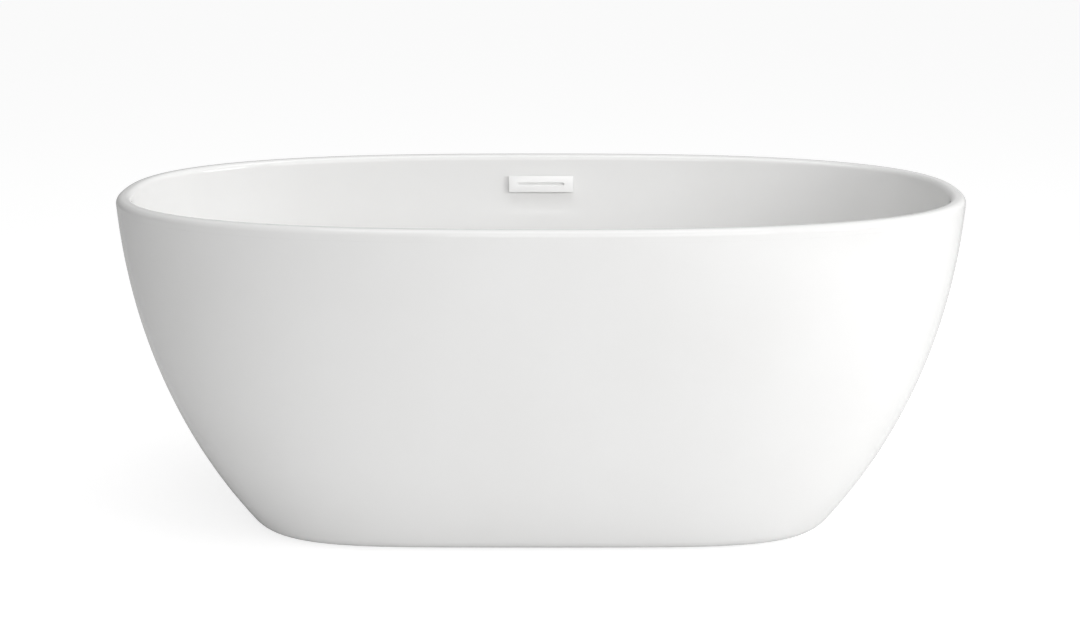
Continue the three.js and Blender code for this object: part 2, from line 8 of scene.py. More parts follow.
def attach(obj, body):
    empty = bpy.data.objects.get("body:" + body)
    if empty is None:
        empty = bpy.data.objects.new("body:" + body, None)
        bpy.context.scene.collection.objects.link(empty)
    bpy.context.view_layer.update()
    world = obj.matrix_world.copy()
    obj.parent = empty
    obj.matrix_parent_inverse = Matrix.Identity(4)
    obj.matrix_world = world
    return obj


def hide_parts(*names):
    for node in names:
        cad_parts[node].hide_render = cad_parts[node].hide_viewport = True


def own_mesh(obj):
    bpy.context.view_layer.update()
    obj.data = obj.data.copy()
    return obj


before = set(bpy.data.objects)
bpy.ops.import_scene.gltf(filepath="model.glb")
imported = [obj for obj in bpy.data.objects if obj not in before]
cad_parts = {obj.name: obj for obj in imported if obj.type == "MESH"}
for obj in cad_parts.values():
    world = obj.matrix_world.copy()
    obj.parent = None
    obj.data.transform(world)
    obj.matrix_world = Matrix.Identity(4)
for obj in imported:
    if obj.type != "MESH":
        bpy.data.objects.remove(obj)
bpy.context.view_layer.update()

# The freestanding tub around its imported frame. +X runs along the tub, +Y to the overflow side.
# Settings are in millimetres and degrees; the helpers turn them into Blender's metres.
mm = 0.001
mergeDistance = 0.00001


# ---- small helpers used by every piece

def clearSelection():
    if bpy.context.object and bpy.context.object.mode != "OBJECT":
        bpy.ops.object.mode_set(mode="OBJECT")
    bpy.ops.object.select_all(action="DESELECT")


def pick(piece):
    clearSelection()
    piece.select_set(True)
    bpy.context.view_layer.objects.active = piece


def editAll(piece):
    pick(piece)
    bpy.ops.object.mode_set(mode="EDIT")
    bpy.ops.mesh.select_all(action="SELECT")


def applyModifier(piece, kind, **settings):
    pick(piece)
    modifier = piece.modifiers.new(kind.title(), kind)
    for key, value in settings.items():
        setattr(modifier, key, value)
    bpy.ops.object.modifier_apply(modifier=modifier.name)


def named(name):
    # the primitive just added, under its own name
    piece = bpy.context.object
    piece.name = name
    return piece


def facesOut():
    # the selected faces are turned outwards, and edit mode is left
    bpy.ops.mesh.normals_make_consistent(inside=False)
    bpy.ops.object.mode_set(mode="OBJECT")


def closeUp(piece):
    editAll(piece)
    bpy.ops.mesh.remove_doubles(threshold=mergeDistance)
    facesOut()
    return piece


def smooth(piece, degrees=30):
    pick(piece)
    bpy.ops.object.shade_smooth_by_angle(angle=math.radians(degrees))
    return piece


def bake(piece):
    bpy.ops.object.transform_apply(location=True, rotation=True, scale=True)
    return piece


def settle(piece, location=(0, 0, 0), turn=(0, 0, 0)):
    # the place goes into the mesh, so the object itself sits at the origin
    pick(piece)
    piece.location = Vector(location) * mm + piece.location
    piece.rotation_euler = [math.radians(angle) for angle in turn]
    return bake(piece)


def copyOf(piece, name):
    pick(piece)
    bpy.ops.object.duplicate(linked=False)
    return named(name)


def mirrored(piece, axis):
    # turned over to the other side, with its faces outwards again
    pick(piece)
    piece.scale[axis] = -1
    editAll(bake(piece))
    facesOut()
    return piece


def joinUp(piece, others):
    pick(piece)
    for other in others:
        other.select_set(True)
    bpy.ops.object.join()
    return piece


def combine(piece, tool, operation="DIFFERENCE"):
    applyModifier(piece, "BOOLEAN", object=tool, operation=operation, solver="EXACT")
    bpy.data.objects.remove(tool)
    return piece


def bevel(piece, width, segments=2, degrees=40):
    applyModifier(piece, "BEVEL", width=width * mm, segments=segments, limit_method="ANGLE",
                  angle_limit=math.radians(degrees), use_clamp_overlap=True)
    return piece


def line(name, points, closed=False):
    # a plane merged to one vertex, then drawn out from point to point
    clearSelection()
    bpy.ops.mesh.primitive_plane_add(size=mm)
    piece = named(name)
    editAll(piece)
    bpy.ops.mesh.merge(type="CENTER")
    path = [Vector(point) * mm for point in points]
    bpy.ops.transform.translate(value=path[0])
    ends = path[1:] + ([path[0]] if closed else [])
    for start, end in zip(path, ends):
        bpy.ops.mesh.extrude_vertices_move(TRANSFORM_OT_translate={"value": end - start})
    bpy.ops.mesh.select_all(action="SELECT")
    bpy.ops.mesh.remove_doubles(threshold=mergeDistance)
    bpy.ops.object.mode_set(mode="OBJECT")
    return piece


def turned(name, profile, sides=48):
    # profile of (radius, height), from axis to axis or closed on itself
    piece = line(name, [(radius, 0, height) for radius, height in profile])
    applyModifier(piece, "SCREW", angle=math.tau, screw_offset=0, steps=sides, render_steps=sides)
    return closeUp(piece)


def ringOf(name, inner, outer, low, high, sides=48):
    return turned(name, [(inner, low), (outer, low), (outer, high), (inner, high), (inner, low)], sides)


def rod(name, radius, low, high, sides=32):
    return turned(name, [(0, low), (radius, low), (radius, high), (0, high)], sides)


def drill(piece, radius, low, high, place=(0, 0, 0), turn=(0, 0, 0), sides=16):
    # a round hole along Z, turned and put in its place
    tool = settle(rod("hole", radius, low, high, sides), turn=turn)
    return combine(piece, settle(tool, place))


def pulled(piece, by):
    # edges are pulled into faces, and a face into a solid
    editAll(piece)
    bpy.ops.mesh.extrude_region_move(TRANSFORM_OT_translate={"value": Vector(by) * mm})
    return closeUp(piece)


def plate(name, outline, depth):
    # an outline of (x, y), filled and pulled up
    piece = line(name, [(x, y, 0) for x, y in outline], closed=True)
    editAll(piece)
    bpy.ops.mesh.edge_face_add()
    return pulled(piece, (0, 0, depth))


def box(name, low, high):
    clearSelection()
    bpy.ops.mesh.primitive_cube_add(size=1)
    piece = named(name)
    piece.scale = [(b - a) * mm for a, b in zip(low, high)]
    return settle(piece, [(a + b) / 2 for a, b in zip(low, high)])


def roundedOutline(width, height, corner, steps=6):
    points = []
    for quarter, (sx, sy) in enumerate(((1, 1), (-1, 1), (-1, -1), (1, -1))):
        for step in range(steps + 1):
            angle = math.pi / 2 * (quarter + step / steps)
            points.append((sx * (width / 2 - corner) + corner * math.cos(angle),
                           sy * (height / 2 - corner) + corner * math.sin(angle)))
    return points


def filleted(points, radius, steps=5):
    # the corners of an open line of (x, y) points, rounded
    path = [Vector(point) for point in points]
    out = [path[0]]
    for before, corner, after in zip(path, path[1:], path[2:]):
        into, away = (corner - before).normalized(), (after - corner).normalized()
        half = into.angle(away) / 2
        reach = radius * math.tan(half)
        start, end = corner - into * reach, corner + away * reach
        middle = corner + (away - into).normalized() * radius / math.cos(half)
        for step in range(steps + 1):
            share = step / steps
            sweep = (start - middle).lerp(end - middle, share).normalized() * radius
            out.append(middle + sweep)
    out.append(path[-1])
    return [tuple(point) for point in out]


def threaded(name, radius, pitch, depth, low, high, sides=24):
    # one pitch of right-hand thread wound up a screw, then cut level at both ends
    root = radius - depth
    shape = ((root, 0), (root, 0.14), (radius, 0.44), (radius, 0.56), (root, 0.86), (root, 1))
    start = low - 1.5 * pitch
    piece = line(name, [(r, 0, start + share * pitch) for r, share in shape])
    turns = math.ceil((high - low) / pitch) + 2
    applyModifier(piece, "SCREW", angle=math.tau, screw_offset=pitch * mm, iterations=turns,
                  steps=sides, render_steps=sides)
    closeUp(piece)
    for height, side in ((low, "clear_inner"), (high, "clear_outer")):
        editAll(piece)
        bpy.ops.mesh.bisect(plane_co=(0, 0, height * mm), plane_no=(0, 0, 1), use_fill=True, **{side: True})
    return closeUp(piece)


def ringSheet(name, levels, sides):
    # one circle, extruded ring by ring; a level gives its ring's point in each direction
    clearSelection()
    bpy.ops.mesh.primitive_circle_add(vertices=sides, radius=1)
    piece = named(name)
    spoke = piece.data.attributes.new("spoke", "INT", "POINT")
    for index in range(sides):
        spoke.data[index].value = index
    editAll(piece)
    for number, level in enumerate(levels):
        if number:
            bpy.ops.mesh.extrude_region_move()
        mesh = bmesh.from_edit_mesh(piece.data)
        layer = mesh.verts.layers.int["spoke"]
        for vertex in mesh.verts:
            if vertex.select:
                vertex.co = level(vertex[layer] / sides * math.tau) * mm
        bmesh.update_edit_mesh(piece.data)
    bpy.ops.mesh.select_all(action="SELECT")
    facesOut()
    return piece


def swept(name, rings, sides):
    # an open tube along rings of (centre, first axis, second axis, radius)
    def ringLevel(centre, first, second, radius):
        return lambda turn: centre + radius * (math.cos(turn) * first + math.sin(turn) * second)

    return ringSheet(name, [ringLevel(*ring) for ring in rings], sides)


def handOver(piece, node, slot, body="root"):
    # its finish, the body it rides on and the CAD node it stands for
    if not piece.data.materials:
        piece.data.materials.append(finishes[slot])
    piece.name = piece.name.split(".")[0]
    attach(piece, body)
    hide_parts(node)
    return piece


corners = ((-1, -1), (1, -1), (-1, 1), (1, 1))
# turns a piece made along Z to lie along +Y
layBack = (-90, 0, 0)
print("helpers ready")


# ---- shader groups

def feed(tree, node, inputs):
    # an input gets a plain value, or a link from the socket given
    for key, value in inputs.items():
        if isinstance(value, bpy.types.NodeSocket):
            tree.links.new(value, node.inputs[key])
        else:
            node.inputs[key].default_value = value


def addNode(tree, kind, inputs, **settings):
    node = tree.nodes.new("ShaderNode" + kind)
    for key, value in settings.items():
        setattr(node, key, value)
    feed(tree, node, inputs)
    return node.outputs


def newGroup(name, inputs):
    # an input's kind follows from its value: a number, a vector of three or a colour of four
    tree = bpy.data.node_groups.new(name, "ShaderNodeTree")
    for label, value in inputs.items():
        parts = len(value) if isinstance(value, tuple) else 1
        kind = {1: "NodeSocketFloat", 3: "NodeSocketVector", 4: "NodeSocketColor"}[parts]
        tree.interface.new_socket(label, in_out="INPUT", socket_type=kind).default_value = value
    return tree, tree.nodes.new("NodeGroupInput").outputs


def finishGroup(tree, outputs):
    for label, socket in outputs.items():
        kind = "NodeSocketColor" if socket.type == "RGBA" else "NodeSocketFloat"
        tree.interface.new_socket(label, in_out="OUTPUT", socket_type=kind)
    feed(tree, tree.nodes.new("NodeGroupOutput"), outputs)
    return tree


def buildSoftWear():
    # uneven polish: slow clouds and fine speckle, as a roughness, a mask and a height
    tree, given = newGroup("softWear", {
        "Vector": (0, 0, 0), "Cloud Scale": 6, "Speckle Scale": 400, "Low": 0.1, "High": 0.2})
    place = given["Vector"]
    cloud = addNode(tree, "TexNoise", {"Vector": place, "Scale": given["Cloud Scale"], "Detail": 3})
    speckle = addNode(tree, "TexNoise", {"Vector": place, "Scale": given["Speckle Scale"], "Detail": 2})
    both = addNode(tree, "Math", {0: speckle["Fac"], 1: 0.3, 2: cloud["Fac"]}, operation="MULTIPLY_ADD")
    band = {"Value": both[0], "From Min": 0.45, "From Max": 0.85}
    spread = addNode(tree, "MapRange", {**band, "To Min": given["Low"], "To Max": given["High"]})
    mask = addNode(tree, "MapRange", band)
    return finishGroup(tree, {"Roughness": spread["Result"], "Mask": mask["Result"], "Height": both[0]})


def buildFlakes():
    # flat flakes, each with its own tone, and a height that drops at their edges
    tree, given = newGroup("flakes", {"Vector": (0, 0, 0), "Scale": 100, "Stretch": (1, 1, 1), "Warp": 0.02})
    noise = addNode(tree, "TexNoise", {"Vector": given["Vector"], "Scale": 30})
    warp = addNode(tree, "VectorMath", {0: noise["Color"], "Scale": given["Warp"]}, operation="SCALE")
    moved = addNode(tree, "VectorMath", {0: given["Vector"], 1: warp[0]}, operation="ADD")
    stretch = addNode(tree, "VectorMath", {0: moved[0], 1: given["Stretch"]}, operation="MULTIPLY")
    grid = {"Vector": stretch[0], "Scale": given["Scale"]}
    cells = addNode(tree, "TexVoronoi", grid)
    edges = addNode(tree, "TexVoronoi", grid, feature="DISTANCE_TO_EDGE")
    tone = addNode(tree, "SeparateColor", {0: cells["Color"]})
    edge = addNode(tree, "MapRange", {"Value": edges["Distance"], "From Max": 0.12})
    return finishGroup(tree, {"Tone": tone[0], "Edge": edge["Result"]})


def buildStrands():
    # chopped strands in a mat: thin stretched streaks in three directions, laid over each other
    tree, given = newGroup("strands", {"Vector": (0, 0, 0), "Scale": 60})
    mask = None
    for turns in ((0.2, 0.5, 0.1), (1.3, 1.6, 0.9), (0.7, 2.6, 2.1)):
        lay = addNode(tree, "Mapping", {
            "Vector": given["Vector"], "Rotation": turns, "Scale": (1, 12, 12)})
        noise = addNode(tree, "TexNoise", {"Vector": lay["Vector"], "Scale": given["Scale"], "Detail": 1})
        cut = addNode(tree, "MapRange", {"Value": noise["Fac"], "From Min": 0.56, "From Max": 0.64})["Result"]
        mask = addNode(tree, "Math", {0: mask, 1: cut}, operation="MAXIMUM")[0] if mask else cut
    return finishGroup(tree, {"Mask": mask})


def buildTwoTone():
    # a colour between two, by a mask
    tree, given = newGroup("twoTone", {"Mask": 0, "First": (0, 0, 0, 1), "Second": (1, 1, 1, 1)})
    mix = addNode(tree, "Mix", {"Factor": given["Mask"], "A": given["First"], "B": given["Second"]},
                  data_type="RGBA")
    return finishGroup(tree, {"Color": mix["Result"]})


softWear = buildSoftWear()
flakes = buildFlakes()
strands = buildStrands()
twoTone = buildTwoTone()


def startMaterial(name):
    material = bpy.data.materials.new(name)
    material.use_nodes = True
    return material, material.node_tree


def ownPlace(tree):
    return addNode(tree, "TexCoord", {})["Object"]


def addWear(tree, clouds, speckles, low, high):
    return addNode(tree, "Group", {
        "Vector": ownPlace(tree), "Cloud Scale": clouds, "Speckle Scale": speckles, "Low": low, "High": high},
        node_tree=softWear)


def addTone(tree, mask, first, second):
    tones = {"Mask": mask, "First": (*first, 1), "Second": (*second, 1)}
    return addNode(tree, "Group", tones, node_tree=twoTone)["Color"]


def addBump(tree, height, strength, distance):
    relief = {"Height": height, "Strength": strength, "Distance": distance * mm}
    return addNode(tree, "Bump", relief)["Normal"]


def shade(material, **inputs):
    # the shader's inputs, each a plain value or a socket
    tree = material.node_tree
    feed(tree, tree.nodes["Principled BSDF"], {key.replace("_", " "): value for key, value in inputs.items()})
    return material


def plainMaterial(name, first, second, wear, bump=None, **inputs):
    # one finish with a slow change of tone and an uneven polish
    material, tree = startMaterial(name)
    worn = addWear(tree, *wear)
    if bump:
        inputs["Normal"] = addBump(tree, worn["Height"], *bump)
    return shade(material, Roughness=worn["Roughness"],
                 Base_Color=addTone(tree, worn["Mask"], first, second), **inputs)


def makeLaminate():
    # glass mat under clear resin, on the side that isn't seen from the room
    material, tree = startMaterial("fibreglassLaminate")
    mat = addNode(tree, "Group", {"Vector": ownPlace(tree), "Scale": 45}, node_tree=strands)["Mask"]
    return shade(material, Coat_Weight=0.3, Roughness=addWear(tree, 14, 500, 0.35, 0.6)["Roughness"],
                 Base_Color=addTone(tree, mat, (0.56, 0.54, 0.46), (0.66, 0.64, 0.56)),
                 Normal=addBump(tree, mat, 0.5, 0.4))


def makeChipboard():
    material, tree = startMaterial("chipboard")
    chips = addNode(tree, "Group", {
        "Vector": ownPlace(tree), "Scale": 160, "Stretch": (1, 1.6, 3), "Warp": 0.006}, node_tree=flakes)
    return shade(material, Roughness=addWear(tree, 20, 900, 0.75, 0.92)["Roughness"],
                 Base_Color=addTone(tree, chips["Tone"], (0.3, 0.19, 0.09), (0.62, 0.46, 0.27)),
                 Normal=addBump(tree, chips["Edge"], 0.4, 0.3))


def makeGalvanised():
    # hot-dip zinc: a patchwork of crystals that differ a little in tone and polish
    material, tree = startMaterial("galvanisedSteel")
    spangle = addNode(tree, "Group", {
        "Vector": ownPlace(tree), "Scale": 170, "Stretch": (1, 1, 1), "Warp": 0.006}, node_tree=flakes)
    rough = addNode(tree, "MapRange", {"Value": spangle["Tone"], "To Min": 0.3, "To Max": 0.48})
    return shade(material, Metallic=0.95, Roughness=rough["Result"],
                 Base_Color=addTone(tree, spangle["Tone"], (0.47, 0.49, 0.5), (0.6, 0.61, 0.62)),
                 Normal=addBump(tree, spangle["Edge"], 0.15, 0.1))


acrylicWhite = plainMaterial("acrylicWhite", (0.855, 0.853, 0.845), (0.875, 0.874, 0.868),
                             (4, 900, 0.03, 0.06), IOR=1.49)
whiteTrim = plainMaterial("whiteTrim", (0.945, 0.945, 0.94), (0.96, 0.96, 0.955), (30, 1200, 0.16, 0.24),
                          IOR=1.47)
finishes = {
    "acrylic_white": acrylicWhite,
    "white_trim": whiteTrim,
    "fibreglass_laminate": makeLaminate(),
    "chipboard": makeChipboard(),
    "galvanised_steel": makeGalvanised(),
    "zinc_plated_steel": plainMaterial("zincPlated", (0.5, 0.51, 0.53), (0.66, 0.67, 0.68),
                                       (60, 1500, 0.22, 0.4), (0.1, 0.05), Metallic=1),
    "brass_plain": plainMaterial("brassPlain", (0.6, 0.42, 0.16), (0.72, 0.53, 0.24),
                                 (60, 1500, 0.2, 0.38), Metallic=1),
    "rubber_black": plainMaterial("rubberBlack", (0.018, 0.018, 0.019), (0.03, 0.03, 0.031),
                                  (40, 1800, 0.7, 0.9), (0.3, 0.1)),
    "plastic_black": plainMaterial("plasticBlack", (0.022, 0.023, 0.025), (0.034, 0.035, 0.037),
                                   (25, 1600, 0.36, 0.52), (0.2, 0.05)),
}
print("materials ready")

# ---- the oval both shells are drawn on: |x/a|^p + |y/b|^q = 1

tubOval = {
    "halfLength": 750, "halfWidth": 369, "height": 595, "rimWidth": 27, "rimRound": 11,
    "rimPowers": (2.66, 2.44), "sides": 192, "seam": 576, "halvings": 40,
}
rimCentre = tubOval["height"] - tubOval["rimRound"]


def ovalFoot(a, b, p, q, turn):
    # where the oval is in that direction, and its outward normal there
    c, s = math.cos(turn), math.sin(turn)
    low, high = 1.0, 1.5
    for halving in range(tubOval["halvings"]):
        reach = (low + high) / 2
        if abs(reach * c) ** p + abs(reach * s) ** q < 1:
            low = reach
        else:
            high = reach
    x, y = low * c, low * s
    normal = Vector((math.copysign(p * abs(x) ** (p - 1), x) / a,
                     math.copysign(q * abs(y) ** (q - 1), y) / b, 0)).normalized()
    return Vector((a * x, b * y, 0)), normal


def ovalLevel(a, b, p, q, offset, z):
    # a level gives its ring's point in each direction
    def at(turn):
        point, normal = ovalFoot(a, b, p, q, turn)
        return point + offset * normal + Vector((0, 0, z))
    return at


def rimLevel(offset, z):
    return ovalLevel(tubOval["halfLength"], tubOval["halfWidth"], *tubOval["rimPowers"], offset, z)


def rimArc(middle, side, angles):
    # a rim edge's round, as levels
    radius = tubOval["rimRound"]
    return [rimLevel(middle + side * radius * math.cos(math.radians(angle)),
                     rimCentre + radius * math.sin(math.radians(angle))) for angle in angles]


def arcWall(shape):
    # A wall that leans in along an arc below the rim, then turns under in a round. The round's
    # height is the same all the way round, so its radius depends on the wall's lean there.
    arc, lean, bottom = shape["arc"], math.radians(shape["lean"]), shape["bottom"]
    rimP, rimQ = tubOval["rimPowers"]
    endSine = (arc * math.sin(lean) + rimCentre - bottom - shape["round"]) / (arc - shape["round"])
    endHeight = bottom + shape["round"] * (1 - endSine)

    def wallOval(z):
        angle = math.asin(math.sin(lean) + (rimCentre - z) / arc)
        drawIn = arc * (math.cos(lean) - math.cos(angle))
        share = ((rimCentre - z) / (rimCentre - endHeight)) ** shape["blend"]
        return (tubOval["halfLength"] - drawIn, tubOval["halfWidth"] - shape["widthShare"] * drawIn,
                rimP + (shape["powers"][0] - rimP) * share, rimQ + (shape["powers"][1] - rimQ) * share)

    def wallLevel(z, offset):
        return ovalLevel(*wallOval(z), offset, z)

    def roundLevel(share, offset):
        foot, above = wallOval(endHeight), wallOval(endHeight + 1)

        def at(turn):
            point, normal = ovalFoot(*foot, turn)
            higher = ovalFoot(*above, turn)[0]
            sine = math.sin(math.atan((higher - point).dot(normal)))
            radius = (endHeight - bottom) / (1 - sine)
            angle = math.asin(sine) + (math.pi / 2 - math.asin(sine)) * share
            outwards = radius * (math.cos(angle) - math.sqrt(1 - sine ** 2))
            height = bottom + radius * (1 - math.sin(angle))
            return point + (offset + outwards) * normal + Vector((0, 0, height))
        return at

    return wallLevel, roundLevel, endHeight


def ovalSheet(name, levels):
    return ringSheet(name, levels, tubOval["sides"])


def between(start, end, steps):
    return [start + (end - start) * step / steps for step in range(steps + 1)]


def thicken(piece, wall, dryFinish):
    # the wall goes inwards, and its dry side takes the second finish
    piece.data.materials.append(acrylicWhite)
    piece.data.materials.append(dryFinish)
    applyModifier(piece, "SOLIDIFY", thickness=wall * mm, offset=-1, use_even_offset=True,
                  material_offset=1)


# ---- skirt

skirt = {
    "arc": 1011, "lean": 3.75, "round": 53, "bottom": 3, "widthShare": 0.467, "powers": (4.85, 3.3),
    "blend": 1.15, "wall": 5, "flange": 35, "rings": 34, "seamGap": 0.05,
}
strip = {
    "thickness": 2, "width": 25, "tabFrom": 362, "upright": 404, "footTo": 450, "screw": 438,
    "footMiddle": 9.3, "tabMiddle": 91.1, "bend": 3, "hole": 2.8, "y": 150,
}


def buildSkirt():
    wallLevel, roundLevel, endHeight = arcWall(skirt)
    top = tubOval["seam"] - skirt["seamGap"]
    levels = [wallLevel(z, 0) for z in between(top, endHeight, skirt["rings"])]
    levels += [roundLevel(share, 0) for share in between(0, 1, 10)[1:]]
    levels += [roundLevel(1, -skirt["flange"] * share) for share in (0.1, 0.5, 0.9, 1)]
    piece = ovalSheet("skirtShell", levels)
    thicken(piece, skirt["wall"], finishes["fibreglass_laminate"])
    for sideX, sideY in corners:
        drill(piece, strip["hole"], -2, 12, (sideX * strip["screw"], sideY * strip["y"], 0))
    return smooth(piece, 40)


# ---- basin

basin = {
    "arc": 1250, "lean": 11.5, "round": 90, "bottom": 150, "widthShare": 0.64, "powers": (3.8, 3),
    "blend": 1, "wall": 6, "drainTop": 144, "rings": 30, "drainFlat": 60,
    "drainRings": (45, 27.5, 26),
}
basinWall, basinRound, basinEnd = arcWall(basin)
skirtWall = arcWall(skirt)[0]
overflow = {"drop": 57, "hole": (110, 18, 8), "wallHeights": (558, 518)}


def wallPlace():
    # the overflow's own axes: Y runs out through the wall, Z up along it
    high, low = [basinWall(z, -tubOval["rimWidth"])(math.pi / 2) for z in overflow["wallHeights"]]
    middle = Vector((0, (high.y + low.y) / 2, tubOval["height"] - overflow["drop"]))
    tilt = math.atan2(high.y - low.y, high.z - low.z)
    return Matrix.Translation(middle * mm) @ Matrix.Rotation(-tilt, 4, "X")


wallMatrix = wallPlace()


def ontoWall(piece):
    pick(piece)
    piece.matrix_world = wallMatrix @ piece.matrix_world
    return bake(piece)


def upright(piece, y=0):
    # a plate drawn flat is stood up, so that its thickness runs from y towards +Y
    settle(piece, turn=(90, 0, 0))
    lowest = min(vertex.co.y for vertex in piece.data.vertices) / mm
    return settle(piece, (0, y - lowest, 0))


def buildBasin():
    width, rounding, flat = tubOval["rimWidth"], tubOval["rimRound"], basin["drainFlat"]
    # the rim's outer edge carries the skirt's line on, so that the seam hardly shows
    levels = [skirtWall(z, 0) for z in between(tubOval["seam"], rimCentre - 2, 3)]
    levels += rimArc(-rounding, 1, between(0, 90, 8))
    levels += [rimLevel(-width / 2, tubOval["height"])]
    levels += rimArc(rounding - width, -1, between(90, 0, 8))
    levels += [basinWall(z, -width) for z in between(rimCentre, basinEnd, basin["rings"])[1:]]
    levels += [basinRound(share, -width) for share in between(0, 1, 12)[1:]]
    floorEdge = levels[-1]
    drop = basin["bottom"] - basin["drainTop"]

    def floorLevel(share):
        # the floor runs from the round's edge to a round flat at the drain
        def at(turn):
            inner = Vector((flat * math.cos(turn), flat * math.sin(turn), basin["bottom"] - drop))
            return floorEdge(turn).lerp(inner, share)
        return at

    levels += [floorLevel(share) for share in between(0, 1, 10)[1:]]
    for radius in basin["drainRings"]:
        levels.append(ovalLevel(radius, radius, 2, 2, 0, basin["drainTop"]))
    piece = ovalSheet("basinShell", levels)
    thicken(piece, basin["wall"], finishes["fibreglass_laminate"])
    hole = upright(plate("hole", roundedOutline(*overflow["hole"]), 40), -20)
    combine(piece, ontoWall(hole))
    return smooth(piece, 40)


handOver(buildSkirt(), "skirt_shell", "acrylic_white")
handOver(buildBasin(), "basin_shell", "acrylic_white")
print("shells done")

# ---- the bond between rim and skirt

bond = {"inner": 6.3, "depth": 12, "taper": 1.8, "gap": 0.3}


def buildBond():
    inner, outer = bond["inner"], tubOval["rimWidth"] - bond["inner"]
    top = tubOval["height"] - basin["wall"] - 2 * bond["gap"]
    lowest = tubOval["seam"] - bond["depth"]
    rounding = tubOval["rimRound"]
    levels = [
        rimLevel(-outer, lowest), rimLevel(-inner - bond["taper"], lowest),
        rimLevel(-inner, rimCentre - bond["gap"]), rimLevel(-rounding, top),
        rimLevel(rounding - tubOval["rimWidth"], top), rimLevel(-outer, rimCentre - bond["gap"]),
        rimLevel(-outer, lowest)]
    return smooth(closeUp(ovalSheet("rimBond", levels)), 40)


handOver(buildBond(), "rim_bond_ring", "fibreglass_laminate")

# ---- base board

board = {
    "half": (380, 165), "bottom": 122.7, "top": 137.7, "drain": 50, "screwX": 250, "screwHole": 2.6,
    "screwReach": 12, "edge": 0.6,
}


def buildBoard():
    (halfX, halfY), bottom, top = board["half"], board["bottom"], board["top"]
    piece = box("baseBoard", (-halfX, -halfY, bottom), (halfX, halfY, top))
    drill(piece, board["drain"], bottom - 5, top + 5, sides=64)
    bevel(piece, board["edge"])
    for sideX, sideY in corners:
        place = (sideX * board["screwX"], sideY * tube["y"], 0)
        drill(piece, board["screwHole"], bottom - 5, bottom + board["screwReach"], place)
    return smooth(piece)


# ---- welded frame of square tube

tube = {
    "size": 30, "wall": 2, "corner": 4, "y": 150, "halfLength": 400, "middle": 107.4,
    "crossbars": (-385, -150, 150, 385), "crossbarLength": 269.4, "stemHole": 6.6, "footX": 340,
}
weld = {"step": 2.1, "count": 11, "size": (1.7, 1.5, 1.5), "voxel": 0.4}


def squareTube(name, length):
    # a rounded square outline pulled along X, then given its wall inwards
    outline = roundedOutline(tube["size"], tube["size"], tube["corner"])
    piece = pulled(line(name, [(-length / 2, y, z) for y, z in outline], closed=True), (length, 0, 0))
    applyModifier(piece, "SOLIDIFY", thickness=tube["wall"] * mm, offset=-1, use_even_offset=True)
    return bevel(piece, 0.25, 1, 60)


def buildRail():
    piece = squareTube("rail", 2 * tube["halfLength"])
    for side in (-1, 1):
        drill(piece, tube["stemHole"], -20, -8, (side * tube["footX"], 0, 0), sides=24)
        drill(piece, board["screwHole"], -20, 20, (side * board["screwX"], 0, 0))
    return smooth(piece)


def weldPool(size):
    clearSelection()
    bpy.ops.mesh.primitive_uv_sphere_add(segments=12, ring_count=8, radius=mm)
    piece = named("weldPool")
    piece.scale = size
    return settle(piece)


def buildWeldSide():
    # a row of overlapping pools of weld metal, run together
    piece = weldPool(weld["size"])
    applyModifier(piece, "ARRAY", count=weld["count"], use_relative_offset=False,
                  use_constant_offset=True, constant_offset_displace=(weld["step"] * mm, 0, 0))
    settle(piece, (-weld["step"] * (weld["count"] - 1) / 2, 0, 0))
    applyModifier(piece, "REMESH", mode="VOXEL", voxel_size=weld["voxel"] * mm)
    return piece


def buildCrossbar():
    # the tube lies along Y, with weld on both sides and underneath at each end
    piece = settle(squareTube("crossbar", tube["crossbarLength"]), turn=(0, 0, 90))
    side = buildWeldSide()
    end, half = tube["crossbarLength"] / 2 - 0.6, tube["size"] / 2 + 0.3
    welds = []
    for direction in (-1, 1):
        welds.append(settle(copyOf(side, "weld"), (0, direction * end, -half)))
        for across in (-1, 1):
            standing = settle(copyOf(side, "weld"), turn=(0, 90, 0))
            welds.append(settle(standing, (across * half, direction * end, 0)))
    bpy.data.objects.remove(side)
    joinUp(piece, welds)
    return smooth(piece)


# ---- strips that hold the skirt's flange to the frame

def buildStrip():
    # the strip's middle line with its two bends, pulled across and given its thickness
    bends = filleted([(strip["tabFrom"], strip["tabMiddle"]), (strip["upright"], strip["tabMiddle"]),
                      (strip["upright"], strip["footMiddle"]), (strip["footTo"], strip["footMiddle"])],
                     strip["bend"])
    edge = line("strip", [(x, -strip["width"] / 2, z) for x, z in bends])
    piece = pulled(edge, (0, strip["width"], 0))
    applyModifier(piece, "SOLIDIFY", thickness=strip["thickness"] * mm, offset=0, use_even_offset=True)
    bevel(piece, 0.4, 2, 60)
    drill(piece, strip["hole"], 0, 20, (strip["screw"], 0, 0), sides=20)
    return smooth(piece)


# ---- screws

def buildScrew(name, radius, length, pitch, point):
    # a thread under a domed head with a cross in it; the seat is at 0 and the thread goes down
    piece = threaded(name, radius, pitch, radius * 0.22, -length, 0.2, 16)
    if point:
        wide = radius * 1.2
        tip = turned("tip", [(0, -length), (wide, -length + point), (wide, 1), (0, 1)], 16)
        combine(piece, tip, "INTERSECT")
    head = turned("head", [(0, 0), (1.8 * radius, 0), (1.98 * radius, 0.5), (1.9 * radius, 1.1),
                           (1.5 * radius, 1.9), (0.9 * radius, 2.35), (0, 2.5)], 32)
    for turn in (0, 90):
        groove = box("groove", (-radius * 1.1, -radius * 0.2, 1.2), (radius * 1.1, radius * 0.2, 4))
        combine(head, settle(groove, turn=(0, 0, turn)))
    joinUp(piece, [head])
    return smooth(piece)


